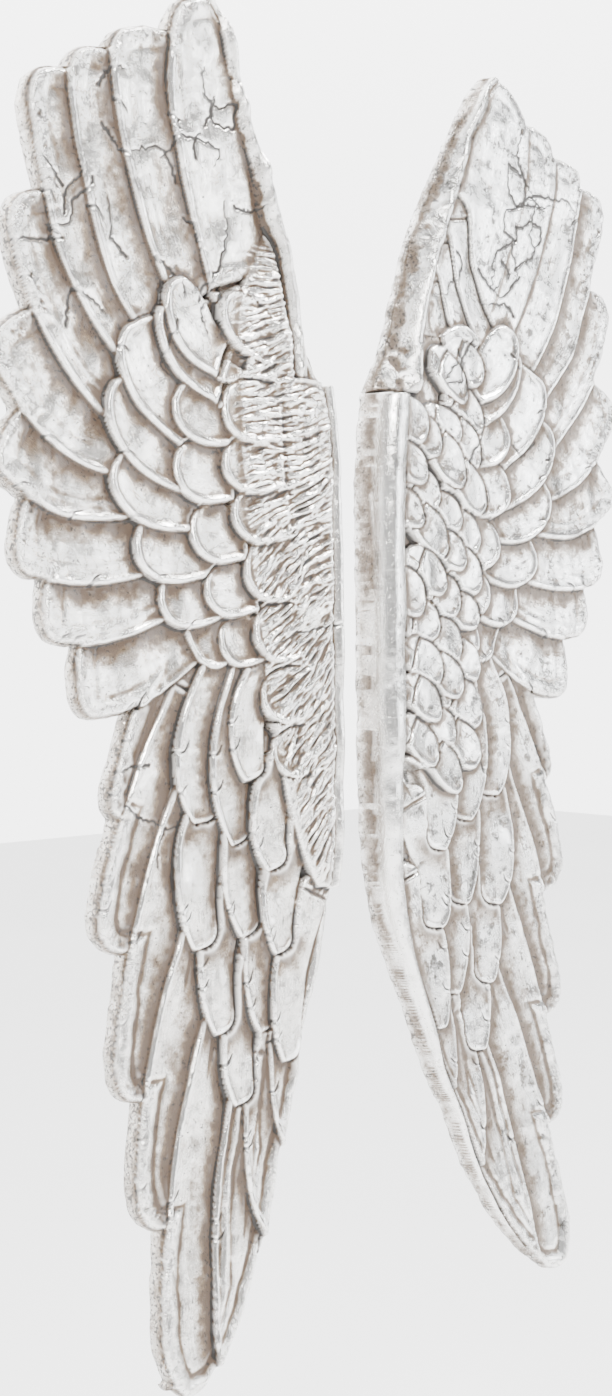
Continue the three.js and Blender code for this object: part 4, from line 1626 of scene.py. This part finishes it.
@dataclass(frozen=True)
class Hanger:
    """A strap hanger: a folded plate, its D-ring and its two screws. Millimetres from the axis."""

    strap_thick: float = 1.2
    strap_half: float = 7.0
    strap_length: float = 34.0
    barrel_radius: float = 3.0
    barrel_half: float = 5.0
    wire: float = 1.5
    ring_half: float = 10.5
    ring_reach: float = 16.0
    head_radius: float = 3.2
    head_height: float = 1.6
    screws_down: tuple[float, float] = (8.75, 27.0)

    def build(self, prefix: str, brass: bpy.types.Material, zinc: bpy.types.Material,
              wire: bpy.types.NodeTree) -> None:
        """Builds and places the hanger whose nodes start with a prefix.

        Args:
            prefix: The nodes' prefix.
            brass: The strap's and screws' finish.
            zinc: The ring's finish.
            wire: The wire group.
        """
        strap_low, strap_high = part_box(f"{prefix}_strap")
        middle = (strap_low.x + strap_high.x) / 2
        reach = (strap_high.y - strap_low.y) / 2  # the barrel takes up the strap's whole depth
        axis = Vector((middle, strap_low.y + reach, strap_high.z - reach))
        face = strap_low.y  # the plate's side towards the wing
        strap = self.strap(f"{prefix}_strap")
        strap.transform(Matrix.Translation((middle, face, axis.z)))
        finished(f"{prefix}_strap_shell", strap, brass, f"{prefix}_strap")
        ring = self.ring(f"{prefix}_ring", wire)
        ring.transform(Matrix.Translation(axis))
        piece = finished(f"{prefix}_ring_wire", ring, zinc, f"{prefix}_ring")
        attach(piece, prefix.replace("_hanger", "") + "_ring")
        for k, down in enumerate(self.screws_down, 1):
            screw_low, screw_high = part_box(f"{prefix}_screw_{k}")
            screw = self.screw(f"{prefix}_screw_{k}", (screw_high.y - screw_low.y) / MM)
            spin = Matrix.Rotation(0.7 * k, 4, "Z")
            stand = Matrix.Rotation(-math.pi / 2, 4, "X")
            screw.transform(
                Matrix.Translation((middle, screw_high.y, (screw_low.z + screw_high.z) / 2)) @ stand @ spin
            )
            finished(f"{prefix}_screw_{k}_steel", screw, brass, f"{prefix}_screw_{k}")

    def strap(self, name: str) -> bpy.types.Mesh:
        """The plate with its rolled end, swept as one strip; Y is towards the wall.

        Args:
            name: The mesh's name.

        Returns:
            The mesh, its origin level with the axis on the plate's wing side.
        """
        t = self.strap_thick
        radius = self.barrel_radius - t / 2
        path: list[tuple[float, float, float]] = []
        for turn in np.radians(np.linspace(255.0, 0.0, 22)):
            y = self.barrel_radius - radius * math.cos(turn)
            path.append((y, radius * math.sin(turn), self.barrel_half))
        straight = np.concatenate([np.linspace(2.5, 5.0, 6), np.linspace(6, self.strap_length - 7, 10),
                                   self.strap_length - 7 * (1 - np.sin(np.linspace(0.1, math.pi / 2, 12)))])
        for down in straight:
            grow = float(smooth(down, 2.0, 5.5))
            half = self.barrel_half + (self.strap_half - self.barrel_half) * grow
            past = max(0.0, (down - (self.strap_length - 7.0)) / 7.0)
            half *= math.sqrt(max(1.0 - past**2, 0.0025))
            path.append((t / 2, -float(down), half))
        line = np.array([(y, z) for y, z, _ in path])
        way = np.gradient(line, axis=0)
        way /= np.linalg.norm(way, axis=1)[:, None]
        normal = np.stack([-way[:, 1], way[:, 0]], 1)
        round_off = 0.3
        corners = [(1, 1, 1, 0), (1, 1, 0, 1), (-1, 1, 0, 1), (-1, 1, 1, 0),
                   (-1, -1, 1, 0), (-1, -1, 0, 1), (1, -1, 0, 1), (1, -1, 1, 0)]
        points, faces = [], []
        for (y, z), n, (_, _, half) in zip(line, normal, path):
            for side, face, cut_face, cut_side in corners:
                x = side * (half - round_off * cut_side)
                off = face * (t / 2 - round_off * cut_face)
                points.append((x * MM, (y + n[0] * off) * MM, (z + n[1] * off) * MM))
        count, sides = len(path), len(corners)
        for k in range(count - 1):
            for c in range(sides):
                d = (c + 1) % sides
                faces.append((k * sides + c, k * sides + d, (k + 1) * sides + d, (k + 1) * sides + c))
        faces.append(tuple(reversed(range(sides))))
        faces.append(tuple(range((count - 1) * sides, count * sides)))
        made = bpy.data.meshes.new(name)
        made.from_pydata(points, [], faces)
        face_outwards(made)
        made.shade_smooth()
        made.set_sharp_from_angle(angle=math.radians(38))
        return made

    def ring(self, name: str, wire: bpy.types.NodeTree) -> bpy.types.Mesh:
        """The D-ring: a straight side through the barrel and a bow over it.

        Args:
            name: The mesh's name.
            wire: The wire group.

        Returns:
            The mesh, its straight side along X through the origin.
        """
        h, top, bend = self.ring_half, self.ring_reach, 2.5
        knots = [(x, 0.0) for x in np.linspace(-h + bend, h - bend, 8)]
        knots += [(h - bend + bend * math.sin(a), bend - bend * math.cos(a))
                  for a in np.linspace(0.2, 1.57, 6)]
        rise = top - h
        knots += [(h, z) for z in np.linspace(bend + 0.5, rise, 3)]
        knots += [(h * math.cos(a), rise + h * math.sin(a)) for a in np.linspace(0.15, math.pi - 0.15, 22)]
        knots += [(-h, z) for z in np.linspace(rise, bend + 0.5, 3)]
        knots += [(-h + bend - bend * math.cos(a), bend - bend * math.sin(a))
                  for a in np.linspace(0.0, 1.37, 6)]
        base = bpy.data.meshes.new(name)
        count = len(knots)
        base.from_pydata(
            [(x * MM, 0.0, z * MM) for x, z in knots], [(k, (k + 1) % count) for k in range(count)], []
        )
        made = through_nodes(name, base, wire, {"Radius": self.wire * MM, "Sides": 14})
        face_outwards(made)
        made.shade_smooth()
        return made

    def screw(self, name: str, length: float) -> bpy.types.Mesh:
        """A pan-head screw with a crossed recess, head up at Z 0 and point down.

        Args:
            name: The mesh's name.
            length: From the top of the head to the point.

        Returns:
            The mesh.
        """
        r, h = self.head_radius, self.head_height

        def recess(radius: float) -> Callable[[float], float]:
            """The head's height round one ring, sunk where the cross is.

            Args:
                radius: The ring's radius.

            Returns:
                The height at each angle.
            """
            def height(a: float) -> float:
                """The height at an angle."""
                x, y = abs(radius * math.cos(a)), abs(radius * math.sin(a))
                arm = 1.0 - float(smooth(min(x, y), 0.25, 0.5))
                sunk = arm * (1.0 - float(smooth(max(x, y), 1.3, 1.9)))
                return -h * 0.55 * (radius / r) ** 3 - 0.9 * sunk
            return height

        rings = [(rad, recess(rad)) for rad in np.linspace(0.15, r * 0.97, 16)]
        rings += [(r, lambda a: -h * 0.75), (r * 0.98, lambda a: -h), (1.5, lambda a: -h)]
        turns = np.linspace(h + 0.4, length - 2.2, 17)
        for k, z in enumerate(turns):
            rings.append((1.7 if k % 2 else 1.25, lambda a, z=z: -float(z)))
        rings += [(0.7, lambda a: -length + 1.0), (0.15, lambda a: -length)]
        return polar(name, rings, 40)


def face_outwards(made: bpy.types.Mesh) -> None:
    """Makes every face of a closed mesh look outwards.

    Args:
        made: The mesh.
    """
    work = bmesh.new()
    work.from_mesh(made)
    bmesh.ops.recalc_face_normals(work, faces=work.faces)
    if work.calc_volume(signed=True) < 0:
        bmesh.ops.reverse_faces(work, faces=work.faces)
    work.to_mesh(made)
    work.free()


@dataclass(frozen=True)
class Bumper:
    """A self-sticking rubber bumper: a squat dome with a flat crown."""

    radius: float = 11.0
    corner: float = 2.6

    def build(self, node: str, material: bpy.types.Material) -> None:
        """Builds the bumper that stands for a node.

        Args:
            node: The node's name.
            material: The bumper's finish.
        """
        low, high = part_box(node)
        depth = (high.y - low.y) / MM
        r, c = self.radius, self.corner
        rings = [(q, lambda a, q=q: -0.1 * (q / r) ** 2) for q in (1.0, r * 0.3, r * 0.55, r - c - 0.8)]
        rings += [(r - c + c * math.sin(t) - 0.8 * (1 - t / 1.57), lambda a, t=t: -c + c * math.cos(t) - 0.1)
                  for t in np.linspace(0.15, 1.57, 7)]
        rings += [(r, lambda a: -depth + 0.5), (r - 0.3, lambda a: -depth + 0.1), (r - 0.8, lambda a: -depth),
                  (r * 0.5, lambda a: -depth)]
        made = polar(f"{node}_dome", rings)
        stand = Matrix.Rotation(-math.pi / 2, 4, "X")
        made.transform(Matrix.Translation(((low.x + high.x) / 2, high.y, (low.z + high.z) / 2)) @ stand)
        finished(f"{node}_dome", made, material, node)


@dataclass(frozen=True)
class Wing:
    """One wing of the pair: the carved tiers and the cast back."""

    side: Side
    leaf: SilverLeaf
    edge: LeadingEdge
    back_depth: float = 8.0
    back_front: float = 10.4
    back_inset: float = 4.0
    back_step: int = 3

    def build(self, cast: bpy.types.Material) -> None:
        """Builds the relief's pieces and the back.

        Args:
            cast: The back's finish.
        """
        sheet = WingRelief(self.side, self.edge).build()
        wash_and_rub(sheet)
        place = WingPlace(self.side)
        leaf = self.leaf.build()
        cells, owner = self.cells(sheet)
        for index, tier in enumerate(TIER_ORDER):
            piece = tidy_cells(cells & (owner == index))
            name = f"{self.side.word}_{tier.value}"
            mesh = Patch(sheet, place, piece).mesh(f"{name}_relief")
            finished(f"{name}_relief", mesh, leaf, name)
        self.back(sheet, place, cast)

    def cells(self, sheet: Sheet) -> tuple[Array, Array]:
        """Which cells are part of the wing, and which tier each belongs to.

        Args:
            sheet: The carved sheet.

        Returns:
            The cells' mask and their tiers' numbers.
        """
        corners = [np.s_[:-1, :-1], np.s_[:-1, 1:], np.s_[1:, 1:], np.s_[1:, :-1]]
        inside = sum(sheet.inside[c] for c in corners) / 4 > 0.0
        owner = np.max([sheet.owner[c] for c in corners], axis=0)
        cells = tidy_cells(inside & (owner >= 0))
        return cells, owner

    def back(self, sheet: Sheet, place: WingPlace, cast: bpy.types.Material) -> None:
        """The cast plate behind the relief.

        Args:
            sheet: The wing's sheet.
            place: The wing's place on the wall.
            cast: The plate's finish.
        """
        step = self.back_step
        plate = copy.copy(sheet)
        for name in ("u", "v", "inside", "wash_and_shade", "rub", "line", "rough", "tone", "grain"):
            setattr(plate, name, getattr(sheet, name)[::step, ::step])
        plate.inside = blur(plate.inside, 1.6) - self.back_inset
        plate.height = plate.rim_height = np.full(plate.u.shape, self.back_front)
        corners = [np.s_[:-1, :-1], np.s_[:-1, 1:], np.s_[1:, 1:], np.s_[1:, :-1]]
        inside = sum(plate.inside[c] for c in corners) / 4 > 0.0
        name = f"{self.side.word}_backing"
        mesh = Patch(plate, place, tidy_cells(inside), self.back_depth).mesh(f"{name}_plate")
        finished(f"{name}_plate", mesh, cast, name)


@dataclass(frozen=True)
class Studio:
    """The pale floor, the soft lights and the camera."""

    floor_drop: float = 0.35
    target: tuple[float, float, float] = (-0.0272, 0.0, -0.1752)
    azimuth: float = -40.0
    elevation: float = 1.8715
    roll: float = -0.7738
    distance: float = 1.4675
    lens: float = 45.27
    white: float = 5.2
    sky: float = 8.8
    room: float = 0.35

    def build(self) -> None:
        """Builds the surroundings."""
        foot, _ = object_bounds()
        floor = bpy.data.meshes.new("floor")
        z, size = foot.z - self.floor_drop, 6.0
        floor.from_pydata(
            [(-size, -size, z), (size, -size, z), (size, size, z), (-size, size, z)], [], [(0, 1, 2, 3)]
        )
        ground = bpy.data.objects.new("floor", floor)
        bpy.context.scene.collection.objects.link(ground)
        sh = Shader("floor")
        dust = sh.noise(1.5, 3.0, 0.5)
        sh.set(Base_Color=sh.mix(dust.over(0.3, 0.7), (0.92, 0.92, 0.92), (0.94, 0.94, 0.94)), Roughness=0.9)
        floor.materials.append(sh.material)
        ground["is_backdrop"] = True
        world = bpy.data.worlds.new("studio")
        world.use_nodes = True
        self.backdrop(world.node_tree)
        bpy.context.scene.world = world
        self.lamp("key", (-1.9, -1.7, 1.2), 0.7, 88.0, (1.0, 0.985, 0.96))
        self.lamp("fill", (2.1, -2.3, 0.3), 1.3, 78.0, (0.95, 0.975, 1.0))
        self.lamp("top", (0.9, -1.1, 2.0), 0.5, 105.0, (1.0, 1.0, 1.0))
        self.camera()

    def backdrop(self, tree: bpy.types.NodeTree) -> None:
        """Makes the room white behind the wings and greyer in front of them.

        Args:
            tree: The world's node tree.
        """
        ways = tree.nodes.new("ShaderNodeTexCoord").outputs["Generated"]
        split = tree.nodes.new("ShaderNodeSeparateXYZ")
        tree.links.new(ways, split.inputs[0])
        behind = Value(tree, split.outputs["Y"]).over(-0.15, 0.45)
        overhead = Value(tree, split.outputs["Z"]).over(0.15, 0.8) * (self.sky - self.white)
        strength = behind * (overhead + (self.white - self.room)) + self.room
        background = tree.nodes["Background"]
        background.inputs[0].default_value = (1.0, 1.0, 1.0, 1.0)
        tree.links.new(strength.socket, background.inputs[1])

    def lamp(self, name: str, at: tuple[float, float, float], size: float, power: float,
             colour: Colour) -> None:
        """Adds a soft square lamp that faces the wings.

        Args:
            name: Its name.
            at: Its place.
            size: Its side.
            power: Its power in watts.
            colour: Its colour.
        """
        light = bpy.data.lights.new(name, "AREA")
        light.size, light.energy, light.color = size, power, colour
        lamp = bpy.data.objects.new(name, light)
        bpy.context.scene.collection.objects.link(lamp)
        aim = Vector(self.target) - Vector(at)
        lamp.matrix_world = Matrix.Translation(at) @ aim.to_track_quat("-Z", "Y").to_matrix().to_4x4()

    def camera(self) -> None:
        """Adds the camera."""
        a, e, r = (math.radians(x) for x in (self.azimuth, self.elevation, self.roll))
        back = Vector((math.sin(a) * math.cos(e), -math.cos(a) * math.cos(e), math.sin(e)))
        right = Vector((math.cos(a), math.sin(a), 0.0))
        up = back.cross(right)
        turned_right = right * math.cos(r) + up * math.sin(r)
        turned_up = up * math.cos(r) - right * math.sin(r)
        lens = bpy.data.cameras.new("camera")
        lens.lens, lens.sensor_width, lens.sensor_fit = self.lens, 36.0, "AUTO"
        eye = bpy.data.objects.new("camera", lens)
        bpy.context.scene.collection.objects.link(eye)
        turn = Matrix((turned_right, turned_up, back)).transposed().to_4x4()
        eye.matrix_world = Matrix.Translation(Vector(self.target) + back * self.distance) @ turn
        bpy.context.scene.camera = eye


def main() -> None:
    """Builds the wings, their hardware and the studio."""
    logging.basicConfig(level=logging.INFO, format="%(name)s %(message)s")
    brass = Plate("brass_plate", (0.50, 0.35, 0.13), (0.33, 0.22, 0.08), 0.30).build()
    zinc = Plate("zinc_wire", (0.40, 0.41, 0.43), (0.24, 0.25, 0.27), 0.34).build()
    rubber = SoftRubber().build()
    cast = BareCast().build()
    wire = wire_tree(zinc)
    warm = SilverLeaf(name="silver_leaf_warm")
    downy = LeadingEdge(
        spar_from=366.0,
        spar_width=((777, 14), (700, 14), (600, 16), (500, 17), (366, 16)),
        spar_front=((777, 44), (700, 45), (600, 46), (450, 45), (366, 43)),
        down_from=((900, 70), (870, 60), (800, 34), (760, 20), (700, 10), (560, 8), (420, 10), (366, 15)),
    )
    Wing(Side.LEFT, warm, downy).build(cast)
    cool = SilverLeaf(
        name="silver_leaf_cool",
        bright=(0.90, 0.895, 0.88),
        dull=(0.70, 0.695, 0.685),
        wash_and_shade=0.8,
        grey=1.0,
    )
    Wing(Side.RIGHT, cool, LeadingEdge(beads=True)).build(cast)
    for side in Side:
        for height in ("upper", "lower"):
            Hanger().build(f"{side.word}_{height}_hanger", brass, zinc, wire)
            for edge in ("inner", "outer"):
                Bumper().build(f"{side.word}_{height}_{edge}_bumper", rubber)
    Studio().build()


if __name__ == "__main__":
    main()
